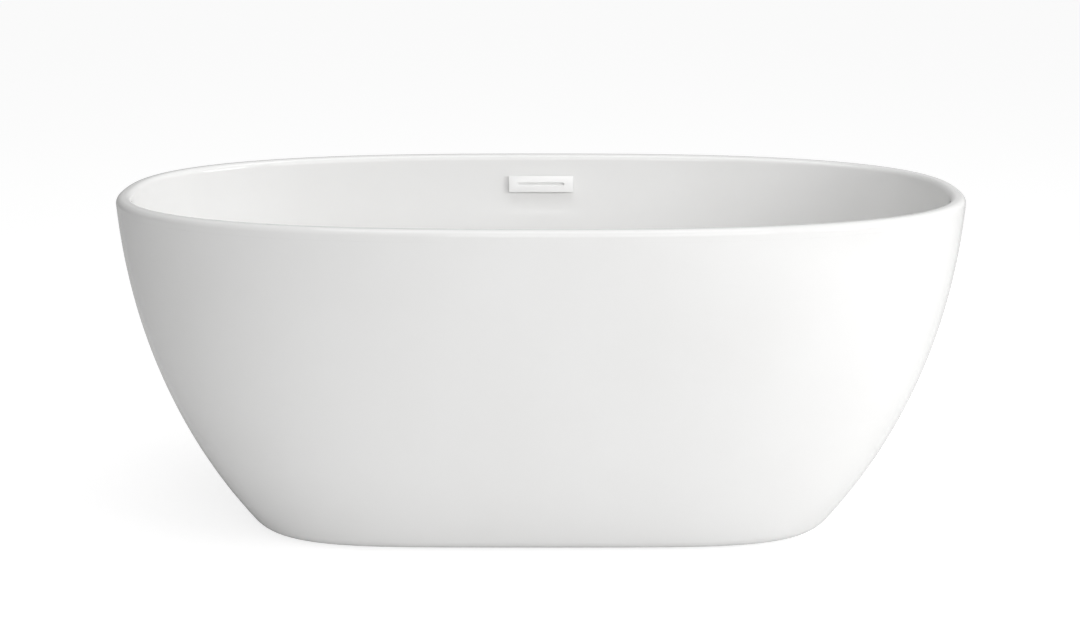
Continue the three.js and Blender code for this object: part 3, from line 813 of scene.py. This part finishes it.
handOver(buildBoard(), "base_board", "chipboard")
rail = buildRail()
for name, y in (("front", -tube["y"]), ("back", tube["y"])):
    piece = settle(copyOf(rail, "rail" + name.title()), (0, y, tube["middle"]))
    handOver(piece, "rail_" + name, "galvanised_steel")
crossbar = buildCrossbar()
for number, x in enumerate(tube["crossbars"], 1):
    piece = settle(copyOf(crossbar, f"crossbar{number}"), (x, 0, tube["middle"]))
    handOver(piece, f"crossbar_{number}", "galvanised_steel")
stripPiece = buildStrip()
stripScrew = buildScrew("stripScrew", 2.2, 7, 1.3, 0)
boardScrew = buildScrew("boardScrew", 2.2, 41, 1.5, 5)
stripSeat = strip["footMiddle"] + strip["thickness"] / 2 + 0.3
boardSeat = tube["middle"] - tube["size"] / 2 - 0.3
for number, (sideX, sideY) in enumerate(corners, 1):
    piece = copyOf(stripPiece, f"strip{number}")
    if sideX < 0:
        mirrored(piece, 0)
    settle(piece, (0, sideY * strip["y"], 0))
    handOver(piece, f"skirt_bracket_{number}", "galvanised_steel")
    piece = copyOf(stripScrew, f"stripScrew{number}")
    settle(piece, (sideX * strip["screw"], sideY * strip["y"], stripSeat), (0, 0, 23 * number))
    handOver(piece, f"bracket_screw_{number}", "zinc_plated_steel")
    piece = settle(copyOf(boardScrew, f"boardScrew{number}"), turn=(180, 0, 17 * number))
    settle(piece, (sideX * board["screwX"], sideY * tube["y"], boardSeat))
    handOver(piece, f"board_screw_{number}", "zinc_plated_steel")
for spare in (rail, crossbar, stripPiece, stripScrew, boardScrew):
    bpy.data.objects.remove(spare)
print("frame done")

# ---- feet

foot = {
    "radius": 25, "height": 12, "socket": 7.5, "stem": 6, "stemTop": 112, "neck": 5.9, "threadFrom": 24,
    "pitch": 1.75, "depth": 0.95, "hex": (8.1, 14, 21), "nut": (11, 57.1, 63.1), "nutBore": 6.3,
    "boss": (6.4, 10, 67.1, 92.1), "weldPool": (1.4, 1.9, 1.3),
}


def buildPad():
    # a rubber foot: a flat tread with two grooves, a sloping shoulder and a socket for the stem
    radius, height, bore = foot["radius"], foot["height"], foot["stem"] + 0.3
    piece = turned("pad", [
        (0, 0.8), (8, 0.8), (8.8, 0), (13, 0), (13.6, 1), (14.8, 1), (15.4, 0), (19, 0), (19.6, 1), (20.8, 1),
        (21.4, 0), (radius - 0.8, 0), (radius, 0.8), (radius, 2.6), (radius - 0.7, 3.3), (radius - 1.8, 3.8),
        (radius - 6, 8.2), (bore + 6, height - 0.8), (bore + 5, height - 0.2), (bore + 4.4, height),
        (bore + 0.4, height), (bore, height - 0.4), (bore, foot["socket"]), (0, foot["socket"])], 64)
    for turn in range(0, 360, 45):
        # small gussets up the shoulder
        rib = plate("rib", [(12.4, 10.4), (17.4, 8.8), (23.4, 3.3), (16, 3.2)], 1.6)
        upright(rib, -0.8)
        combine(piece, settle(rib, turn=(0, 0, turn)), "UNION")
    return smooth(piece, 35)


def hexSolid(name, radius, low, high):
    # a hexagon whose corners are chamfered by a turned envelope
    piece = rod(name, radius, low, high, 6)
    inner, chamfer = radius * 0.89, radius * 0.07
    envelope = turned("envelope", [(0, low), (inner, low), (radius * 1.01, low + chamfer),
                                   (radius * 1.01, high - chamfer), (inner, high), (0, high)], 48)
    return combine(piece, envelope, "INTERSECT")


def buildStem():
    low, top, wide = foot["socket"] + 0.3, foot["threadFrom"] + 0.2, foot["neck"]
    piece = threaded("stem", foot["stem"], foot["pitch"], foot["depth"], foot["threadFrom"], foot["stemTop"])
    radius, start, end = foot["hex"]
    neck = turned("neck", [(0, low), (5.2, low), (wide, low + 0.8), (wide, start), (wide, end + 0.5),
                           (5.2, end + 1.2), (5.2, top), (0, top)], 32)
    joinUp(piece, [neck, hexSolid("hex", radius, start, end)])
    return smooth(piece)


def buildNut():
    radius, low, high = foot["nut"]
    piece = hexSolid("nut", radius, low, high)
    bore = foot["nutBore"]
    combine(piece, turned("bore", [(0, low - 1), (bore + 1.4, low - 1), (bore, low + 0.6), (bore, high - 0.6),
                                   (bore + 1.4, high + 1), (0, high + 1)], 32))
    return smooth(piece)


def buildBoss():
    # the threaded boss under the rail, with a rippled weld round its top
    bore, radius, low, high = foot["boss"]
    piece = turned("boss", [(bore + 0.6, low), (radius - 0.8, low), (radius, low + 0.8), (radius, high),
                            (bore, high), (bore, low + 0.6), (bore + 0.6, low)], 40)
    drops = []
    for turn in range(0, 360, 15):
        drop = settle(weldPool(foot["weldPool"]), (radius + 0.3, 0, high - 1.1))
        drops.append(settle(drop, turn=(0, 0, turn)))
    bead = joinUp(drops[0], drops[1:])
    applyModifier(bead, "REMESH", mode="VOXEL", voxel_size=weld["voxel"] * mm)
    joinUp(piece, [bead])
    return smooth(piece)


footMakers = (
    ("pad", buildPad(), "foot_pad_{}", "rubber_black", "foot_{}"),
    ("stem", buildStem(), "foot_stem_{}", "zinc_plated_steel", "stem_{}"),
    ("nut", buildNut(), "foot_nut_{}", "zinc_plated_steel", "stem_{}"),
    ("boss", buildBoss(), "foot_boss_{}", "galvanised_steel", "root"),
)
for label, master, node, slotName, body in footMakers:
    for number, (sideX, sideY) in enumerate(corners, 1):
        piece = settle(copyOf(master, f"{label}{number}"), (sideX * tube["footX"], sideY * tube["y"], 0))
        handOver(piece, node.format(number), slotName, body.format(number))
    bpy.data.objects.remove(master)
print("feet done")

# ---- drain

drain = {
    "floor": 144, "flange": (146.1, 149.5), "flangeRadius": 35, "bore": 19, "barrel": 22, "barrelBottom": 100,
    "spider": (115, 121), "armHalf": 1.9, "hub": 7, "hubBore": 4.3, "body": 29, "bodyTop": 135.1, "lip": 42,
    "nipple": 36, "port": 76, "portEnd": 66, "waterway": 8, "spigot": 10.2, "outlet": 12, "tail": 16.5,
    "cap": 161.8, "seal": 159,
}
tailNut = {"low": 22, "high": 46, "radius": 25, "grip": 26, "grips": 20}


def barbs(spigot, low, high, count):
    # the spigot's outline between two heights: smooth, with shallow barbs for the hose
    pitch = (high - low) / count
    points = []
    for index in range(count):
        start = low + index * pitch
        points += [(spigot - 0.8, start), (spigot, start + pitch * 0.8), (spigot - 0.8, start + pitch * 0.85)]
    return points


def buildFlange():
    low, high = drain["flange"]
    bore, barrel, edge, bottom = drain["bore"], drain["barrel"], drain["flangeRadius"], drain["barrelBottom"]
    piece = turned("drainFlange", [
        (bore, bottom), (barrel - 0.6, bottom), (barrel, bottom + 0.8), (barrel, low), (edge - 0.6, low),
        (edge, low + 0.5), (edge, low + 1.1), (edge - 1.2, low + 2), (edge - 4, high - 0.3), (edge - 6, high),
        (bore + 5, high), (bore + 2, high - 1.1), (bore + 0.4, high - 3),
        (bore, high - 4.6), (bore, bottom)], 72)
    start, end = drain["spider"]
    reach, half, hub = bore + 1, drain["armHalf"], drain["hub"]
    for turn in (0, 90):
        arm = bevel(box("arm", (-reach, -half, start), (reach, half, end)), 0.5)
        combine(piece, settle(arm, turn=(0, 0, turn)), "UNION")
    combine(piece, turned("hub", [(0, start), (hub - 0.6, start), (hub, start + 0.6), (hub, end - 0.6),
                                  (hub - 0.6, end), (0, end)], 32), "UNION")
    drill(piece, drain["hubBore"], start - 5, end + 5, sides=32)
    return smooth(piece)


def buildDrainBody():
    # a cup under the floor with a nipple below, the overflow's port at the back and ribs between
    top, barrel, nipple, body, lip = [drain[key] for key in ("bodyTop", "barrel", "nipple", "body", "lip")]
    piece = turned("drainBody", [
        (17, nipple), (20.4, nipple), (21, nipple + 0.6), (21, 56.5), (22, 59), (body - 1.4, 61.2),
        (body, 63), (body, top - 6), (body + 1, top - 4), (lip - 0.6, top - 4), (lip, top - 3.4),
        (lip, top - 0.5), (lip - 0.5, top), (barrel + 0.4, top), (barrel + 0.4, 98), (25, 96), (25, 65),
        (17, 60), (17, nipple)], 64)
    for turn in range(0, 360, 45):
        if turn == 90:
            continue
        rib = plate("rib", [(28.5, 66), (30, 66), (38.5, top - 4.3), (38.5, top - 3), (28.5, top - 3)], 2)
        combine(piece, settle(upright(rib, -1), turn=(0, 0, turn)), "UNION")
    # the port lies along +Y
    place, end = (0, 0, drain["port"]), drain["portEnd"]
    port = turned("port", [(0, 26.6), (12, 26.6), (12, 38), (10.6, 39),
                           *barbs(drain["spigot"], 40, end, 4), (0, end)], 40)
    combine(piece, settle(settle(port, turn=layBack), place), "UNION")
    drill(piece, drain["waterway"], 20, end + 1, place, layBack, 32)
    return smooth(piece)


def softRing(name, inner, outer, low, high, edge=0.3):
    return smooth(bevel(ringOf(name, inner, outer, low, high, 64), edge))


def buildTailpiece():
    low, radius = drain["outlet"], drain["tail"]
    return smooth(turned("tailpiece", [
        (radius - 1.6, low), (radius - 0.4, low), (radius, low + 0.5), (radius, 51.6), (radius - 0.4, 52),
        (radius - 2, 52), (radius - 2, low + 0.5), (radius - 1.6, low)], 56))


def buildTailNut():
    # a slip nut with hand-grip ribs
    low, high, radius, grip = tailNut["low"], tailNut["high"], tailNut["radius"], tailNut["grip"]
    outline = []
    for index in range(tailNut["grips"]):
        for reach, share in ((radius, 0), (grip, 0.25), (grip, 0.6), (radius, 0.85)):
            angle = (index + share) / tailNut["grips"] * math.tau
            outline.append((reach * math.cos(angle), reach * math.sin(angle)))
    piece = settle(plate("tailNut", outline, high - low), (0, 0, low))
    combine(piece, turned("envelope", [
        (0, low), (radius - 0.4, low), (grip + 0.2, low + 1.4), (grip + 0.2, high - 1.4),
        (radius - 0.2, high), (0, high)], 80), "INTERSECT")
    combine(piece, turned("inside", [
        (0, low - 2), (17, low - 2), (17, low + 4), (21.3, low + 4), (21.3, high - 1), (22.2, high + 1),
        (0, high + 1)], 56))
    return smooth(piece)


def buildCap():
    low = drain["cap"]
    piece = turned("stopperCap", [
        (0, low), (30.6, low), (31.8, low + 0.4), (32.5, low + 1.2), (32.2, low + 1.9), (31, low + 2.7),
        (28, low + 3.6), (23, low + 4.4), (16, low + 4.9), (8, low + 5.15), (0, low + 5.2)], 72)
    return smooth(piece, 40)


def buildSeal():
    low, high = drain["seal"], drain["cap"] - 0.3
    piece = turned("stopperSeal", [
        (24, low + 0.3), (24.4, low), (28.4, low), (29.2, low + 0.4), (30.4, high - 0.9), (30.9, high - 0.3),
        (30.6, high), (24, high), (24, low + 0.3)], 72)
    return smooth(piece)


def buildPlunger():
    hub = drain["spider"][0]
    low, start, end, high = hub - 8, hub - 3.5, hub - 0.3, drain["cap"] - 0.3
    return smooth(turned("plunger", [
        (0, low), (3.3, low), (4, low + 0.8), (4, start), (3.2, start), (3.2, end), (4, end), (4, high),
        (0, high)], 40))


def buildClip():
    # an open retaining ring in the plunger's groove
    low, high = drain["spider"][0] - 3.2, drain["spider"][0] - 0.6
    piece = ringOf("stopperClip", 3.5, 7, low, high, 40)
    combine(piece, box("gap", (1, -2.2, low - 1), (9, 2.2, high + 1)))
    bevel(piece, 0.25)
    return smooth(piece)


spring = {
    "radius": 8.4, "wire": 0.7, "low": 122.1, "high": 160.4, "turns": 6, "closed": 0.8, "steps": 28,
    "sides": 10,
}


def buildSpring():
    # a compression spring whose end coils lie closed: the pitch there is the wire's own thickness
    radius, wire, turns, closed = [spring[key] for key in ("radius", "wire", "turns", "closed")]
    rise, up = 2 * wire * closed, Vector((0, 0, 1))
    openHeight, openTurns = spring["high"] - spring["low"] - 2 * rise, turns - 2 * closed
    rings = []
    for index in range(turns * spring["steps"] + 1):
        along = index / spring["steps"]
        share = min(max(along - closed, 0), openTurns) / openTurns
        ends = min(2 * wire * min(along, turns - along), rise)
        if along < turns / 2:
            z = spring["low"] + ends + share * openHeight
        else:
            z = spring["high"] - ends - (1 - share) * openHeight
        out = Vector((math.cos(along * math.tau), math.sin(along * math.tau), 0))
        rings.append((out * radius + up * z, out, up, wire))
    piece = swept("stopperSpring", rings, spring["sides"])
    editAll(piece)
    bpy.ops.mesh.fill_holes(sides=0)
    return smooth(closeUp(piece), 50)


handOver(buildFlange(), "drain_flange", "white_trim")
flangeSeal = softRing("flangeSeal", 26.5, 33, drain["floor"] + 0.3, drain["flange"][0] - 0.3)
handOver(flangeSeal, "drain_flange_seal", "rubber_black")
handOver(buildDrainBody(), "drain_body", "plastic_black")
bodyGasket = softRing("bodyGasket", 27, 41, drain["bodyTop"] + 0.3, board["top"])
handOver(bodyGasket, "drain_body_gasket", "rubber_black")
handOver(buildTailpiece(), "tailpiece", "plastic_black")
tailWasher = softRing("tailWasher", 16.8, 21, 26.3, drain["nipple"] - 0.3, 0.8)
handOver(tailWasher, "tailpiece_washer", "rubber_black")
handOver(buildTailNut(), "tailpiece_nut", "plastic_black")
handOver(buildCap(), "stopper_cap", "white_trim", "stopper")
handOver(buildSeal(), "stopper_seal", "rubber_black", "stopper")
handOver(buildPlunger(), "stopper_plunger", "brass_plain", "stopper")
handOver(buildClip(), "stopper_clip", "brass_plain", "stopper")
springPiece = handOver(buildSpring(), "stopper_spring", "zinc_plated_steel")
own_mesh(springPiece)
print("drain done")

# ---- overflow, drawn in the wall's own axes and then put onto the wall

slim = {
    "width": 128, "height": 32, "depth": 6.2, "coverWall": 3, "slot": (91, 5, 2.4), "back": -2.4,
    "sealBack": -0.8, "gasket": (6.3, 8.3), "housing": (8.6, 20.6), "middle": 14.6, "bossX": 50, "wall": 2.5,
    "reach": 128, "neck": 32, "hoseTop": -151, "screwLength": 20, "frameCorner": 6,
}
hose = {
    "outer": 12.5, "wall": 1.1, "pitch": 4.6, "valley": 1.3, "cuff": 26, "sides": 28, "curveSteps": 40,
    "route": ((316, 300), (298, 230), (274, 162), (238, 112), (192, 84), (140, 76), (90, 76), (40, 76)),
}


def buildCover():
    # a square-edged white bar over the hole, hollow behind, with one long slot through its face
    width, height, back, wall = [slim[key] for key in ("width", "height", "back", "coverWall")]
    front, insideX, insideZ = back - slim["depth"], width / 2 - wall, height / 2 - wall
    piece = box("overflowCover", (-width / 2, front, -height / 2), (width / 2, back, height / 2))
    bevel(piece, 0.5, 3)
    combine(piece, box("hollow", (-insideX, front + 2.6, -insideZ), (insideX, 5, insideZ)))
    for side in (-1, 1):
        post = settle(rod("post", 4, 1, slim["depth"] + 7.5, 24), turn=layBack)
        combine(piece, settle(post, (side * slim["bossX"], front, 0)), "UNION")
        drill(piece, 1.8, 0, 12, (side * slim["bossX"], -2.5, 0), layBack)
    combine(piece, upright(plate("slot", roundedOutline(*slim["slot"]), 3.6), front - 0.5))
    # a baffle stands behind the slot; water passes over its top
    baffle = box("baffle", (-insideX, front + 3.8, -insideZ), (insideX, front + 4.9, 2.4))
    combine(piece, baffle, "UNION")
    # the slot's lip is eased with a shallow tapered cut
    slotWidth, slotHeight, corner = slim["slot"]
    lip = plate("lip", roundedOutline(slotWidth + 1.6, slotHeight + 1.6, corner + 0.8), 1.2)
    combine(piece, bevel(upright(lip, front - 0.9), 0.6, 3, 60))
    return ontoWall(smooth(piece))


def frameOf(name, outer, inner, y0, y1):
    corner = slim["frameCorner"]
    piece = upright(plate(name, roundedOutline(*outer, corner), y1 - y0), y0)
    combine(piece, upright(plate("hole", roundedOutline(*inner, corner), y1 - y0 + 4), y0 - 2))
    return ontoWall(smooth(bevel(piece, 0.3)))


def ductOutline(side, top, shoulder, bottom, half):
    return [(-side, shoulder), (-half, bottom), (half, bottom), (side, shoulder), (side, top), (-side, top)]


def buildHousing():
    # a flat duct that narrows downwards to a barbed spigot
    front, back = slim["housing"]
    wall, reach, neck, top = slim["wall"], slim["reach"], slim["neck"], slim["hoseTop"]
    middle = (0, slim["middle"], 0)
    piece = plate("overflowHousing", ductOutline(62, 15, -15, -reach, neck / 2), back - front)
    bevel(upright(piece, front), 1.4, 3)
    for x, low in ((-30, -82), (-15, -104), (0, -118), (15, -104), (30, -82)):
        rib = box("rib", (x - 0.8, back - 1, low), (x + 0.8, back + 1.1, 8))
        combine(piece, bevel(rib, 0.3, 1), "UNION")
    outer = drain["spigot"]
    spigot = turned("spigot", [(0, top - 14), *barbs(outer, top - 14, top + 6, 4), (outer, top + 7),
                               (outer, 20 - reach), (0, 20 - reach)], 40)
    combine(piece, settle(spigot, middle), "UNION")
    inside = ductOutline(43, 12, -20, 10 - reach, neck / 2 - 5)
    combine(piece, upright(plate("inside", inside, back - front - 2 * wall), front + wall))
    drill(piece, drain["waterway"], top - 16, 14 - reach, middle, sides=32)
    mouth = plate("mouth", roundedOutline(84, 14, slim["frameCorner"]), wall + 2)
    combine(piece, upright(mouth, front - 1))
    for side in (-1, 1):
        drill(piece, 2, front - 2, back + 2, (side * slim["bossX"], 0, 0), layBack, 20)
    return ontoWall(smooth(piece))


def hoseRoute():
    # it hangs from the spigot between basin and skirt, and turns under the back rail to the drain
    top = wallMatrix @ (Vector((0, slim["middle"], slim["hoseTop"] + 10)) * mm)
    below = wallMatrix @ (Vector((0, slim["middle"], slim["hoseTop"] - 30)) * mm)
    points = [top / mm, below / mm, *[Vector((0, y, z)) for y, z in hose["route"]]]
    points = [2 * points[0] - points[1], *points, 2 * points[-1] - points[-2]]
    # a centripetal curve through the points
    places = []
    for before, start, end, after in zip(points, points[1:], points[2:], points[3:]):
        d0, d1, d2 = [math.sqrt((b - a).length) for a, b in ((before, start), (start, end), (end, after))]
        into = d1 * ((start - before) / d0 - (end - before) / (d0 + d1) + (end - start) / d1)
        away = d1 * ((end - start) / d1 - (after - start) / (d1 + d2) + (after - end) / d2)
        for step in range(hose["curveSteps"]):
            t = step / hose["curveSteps"]
            places.append((2 * t ** 3 - 3 * t ** 2 + 1) * start + (t ** 3 - 2 * t ** 2 + t) * into
                          + (3 * t ** 2 - 2 * t ** 3) * end + (t ** 3 - t ** 2) * away)
    places.append(points[-2])
    return places


def alongRoute(places, distance):
    # the point that far along, and the direction there
    for start, end in zip(places, places[1:]):
        step = (end - start).length
        if distance <= step:
            return start.lerp(end, distance / step), (end - start).normalized()
        distance -= step
    return places[-1], (places[-1] - places[-2]).normalized()


def buildHose():
    # corrugated between two plain cuffs; each ridge is four rings of the sweep
    places = hoseRoute()
    length = sum((b - a).length for a, b in zip(places, places[1:]))
    outer, cuff = hose["outer"], hose["cuff"]
    valley = outer - hose["valley"]
    ridges = round((length - 2 * cuff) / hose["pitch"])
    pitch = (length - 2 * cuff) / ridges
    marks = [(0, outer - 0.5), (0.5, outer - 0.2), (cuff - 1, outer - 0.2)]
    for index in range(ridges):
        start = cuff + index * pitch
        marks += [(start + share * pitch, radius)
                  for share, radius in ((0.05, valley), (0.3, valley), (0.45, outer), (0.85, outer))]
    end = length - cuff
    marks += [(end + 0.5, outer - 0.2), (length - 0.5, outer - 0.2), (length, outer - 0.5)]
    across = Vector((1, 0, 0))
    rings = []
    for distance, radius in marks:
        centre, direction = alongRoute(places, distance)
        rings.append((centre, across, direction.cross(across), radius))
    piece = swept("overflowHose", rings, hose["sides"])
    applyModifier(piece, "SOLIDIFY", thickness=hose["wall"] * mm, offset=-1)
    return smooth(piece, 50)


def buildClamp():
    # a worm-drive clip: a band, its housing and a slotted hexagon screw
    bore = hose["outer"] + 0.9
    band = bevel(ringOf("clamp", bore, bore + 0.8, 0, 9, 56), 0.2, 1)
    shell = bevel(box("shell", (-7, bore + 0.4, 0.2), (6, bore + 4.6, 8.8)), 1.2, 3)
    tongue = bevel(box("tongue", (-10.5, bore + 0.2, 1), (-6, bore + 1.3, 8)), 0.3, 1)
    worm = settle(hexSolid("worm", 3.4, 5.6, 10), turn=(0, 90, 0))
    combine(worm, box("groove", (9, -0.5, -4), (11, 0.5, 4)))
    shaft = settle(rod("shaft", 1.9, -9, 6, 20), turn=(0, 90, 0))
    for part in (worm, shaft):
        settle(part, (0, bore + 2.7, 4.5))
    teeth = []
    for turn in range(15, 76, 5):
        # the screw's teeth pressed through the band beside the housing
        tooth = box("tooth", (-0.35, bore + 0.6, 1.6), (0.35, bore + 1.05, 7.4))
        teeth.append(settle(tooth, turn=(0, 0, turn + 20)))
    joinUp(band, [shell, tongue, worm, shaft, *teeth])
    return smooth(band)


handOver(buildCover(), "overflow_cover", "white_trim")
coverSeal = frameOf("coverSeal", (124, 28), (116, 20), slim["back"] + 0.3, slim["sealBack"])
handOver(coverSeal, "overflow_cover_seal", "rubber_black")
handOver(frameOf("overflowGasket", (124, 30), (112, 19), *slim["gasket"]), "overflow_gasket", "rubber_black")
handOver(buildHousing(), "overflow_housing", "plastic_black")
coverScrew = buildScrew("coverScrew", 1.5, slim["screwLength"], 0.9, 0)
for number, side in enumerate((-1, 1), 1):
    piece = settle(copyOf(coverScrew, f"coverScrew{number}"), turn=(0, 0, 31 * number))
    settle(settle(piece, turn=layBack), (side * slim["bossX"], slim["housing"][1] + 0.3, 0))
    handOver(ontoWall(piece), f"overflow_screw_{number}", "zinc_plated_steel")
handOver(buildHose(), "overflow_hose", "plastic_black")
clampPiece = buildClamp()
upper = settle(copyOf(clampPiece, "clampUpper"), (0, slim["middle"], slim["hoseTop"] - 9), (0, 0, 90))
handOver(ontoWall(upper), "hose_clamp_upper", "zinc_plated_steel")
lower = settle(copyOf(clampPiece, "clampLower"), turn=(0, 0, 180))
lower = settle(settle(lower, turn=layBack), (0, 47, drain["port"]))
handOver(lower, "hose_clamp_lower", "zinc_plated_steel")
for spare in (coverScrew, clampPiece):
    bpy.data.objects.remove(spare)
print("overflow done")

# ---- floor, light and camera

studio = {
    "target": (0, 0, 0.2988), "distance": 3.0889, "pitch": 16.24, "lens": 55.9,
    "shift": (-0.0009, 0.0306), "sensor": 36, "world": (0.14, 0.61), "worldBand": (-0.9, 0.5),
    "paper": 0.78, "floor": 60,
}
lamps = (
    # place, aim, width, height, power
    ((3.2, -1.9, 1.55), (0, 0, 0.5), 2.0, 1.3, 48),
    ((0.9, -4.6, 2.4), (0, 0, 0.3), 3.6, 2.2, 52),
    ((0, -0.2, 3.4), (0, 0, 0.3), 2.4, 1.4, 29),
)


def buildCamera():
    pitch = math.radians(studio["pitch"])
    target = Vector(studio["target"])
    back = Vector((0, -math.cos(pitch), math.sin(pitch)))
    clearSelection()
    bpy.ops.object.camera_add(location=target + back * studio["distance"],
                              rotation=(math.pi / 2 - pitch, 0, 0))
    camera = bpy.context.object
    camera.data.lens = studio["lens"]
    camera.data.sensor_width = studio["sensor"]
    camera.data.shift_x, camera.data.shift_y = studio["shift"]
    bpy.context.scene.camera = camera


def buildWorld():
    # dimmer towards the left, and plain white where the camera looks straight at it
    world = bpy.data.worlds.new("studioWorld")
    bpy.context.scene.world = world
    world.use_nodes = True
    tree = world.node_tree
    across = addNode(tree, "SeparateXYZ", {0: addNode(tree, "TexCoord", {})["Generated"]})["X"]
    (left, right), (dim, bright) = studio["worldBand"], studio["world"]
    side = addNode(tree, "MapRange", {
        "Value": across, "From Min": left, "From Max": right, "To Min": dim, "To Max": bright},
        interpolation_type="SMOOTHSTEP")
    seen = addNode(tree, "LightPath", {})["Is Camera Ray"]
    strength = addNode(tree, "Math", {0: side["Result"], 1: seen}, operation="MAXIMUM")[0]
    feed(tree, tree.nodes["Background"], {"Color": (1, 1, 1, 1), "Strength": strength})


def buildFloor():
    # the camera sees a paper-white floor with a soft shadow; the tub gets the light of a pale one
    clearSelection()
    bpy.ops.mesh.primitive_plane_add(size=studio["floor"], location=(0, 0, 0))
    floor = named("studioFloor")
    material, tree = startMaterial("floorPaint")
    seen = addNode(tree, "LightPath", {})["Is Camera Ray"]
    glow, paint = [addNode(tree, "MapRange", {"Value": seen, "To Min": away, "To Max": near})["Result"]
                   for away, near in ((0, studio["paper"]), (0.9, 0.4))]
    shade(material, Roughness=0.9, Specular_IOR_Level=0, Emission_Color=(1, 1, 1, 1),
          Emission_Strength=glow, Base_Color=paint)
    floor.data.materials.append(material)


def buildLamps():
    for location, aim, width, height, power in lamps:
        direction = Vector(aim) - Vector(location)
        clearSelection()
        bpy.ops.object.light_add(type="AREA", location=location)
        lamp = bpy.context.object
        lamp.rotation_euler = direction.to_track_quat("-Z", "Y").to_euler()
        lamp.data.shape = "RECTANGLE"
        lamp.data.size, lamp.data.size_y = width, height
        lamp.data.energy = power


buildCamera()
buildWorld()
buildFloor()
buildLamps()
bpy.context.scene.view_settings.view_transform = "Standard"
print("studio done")
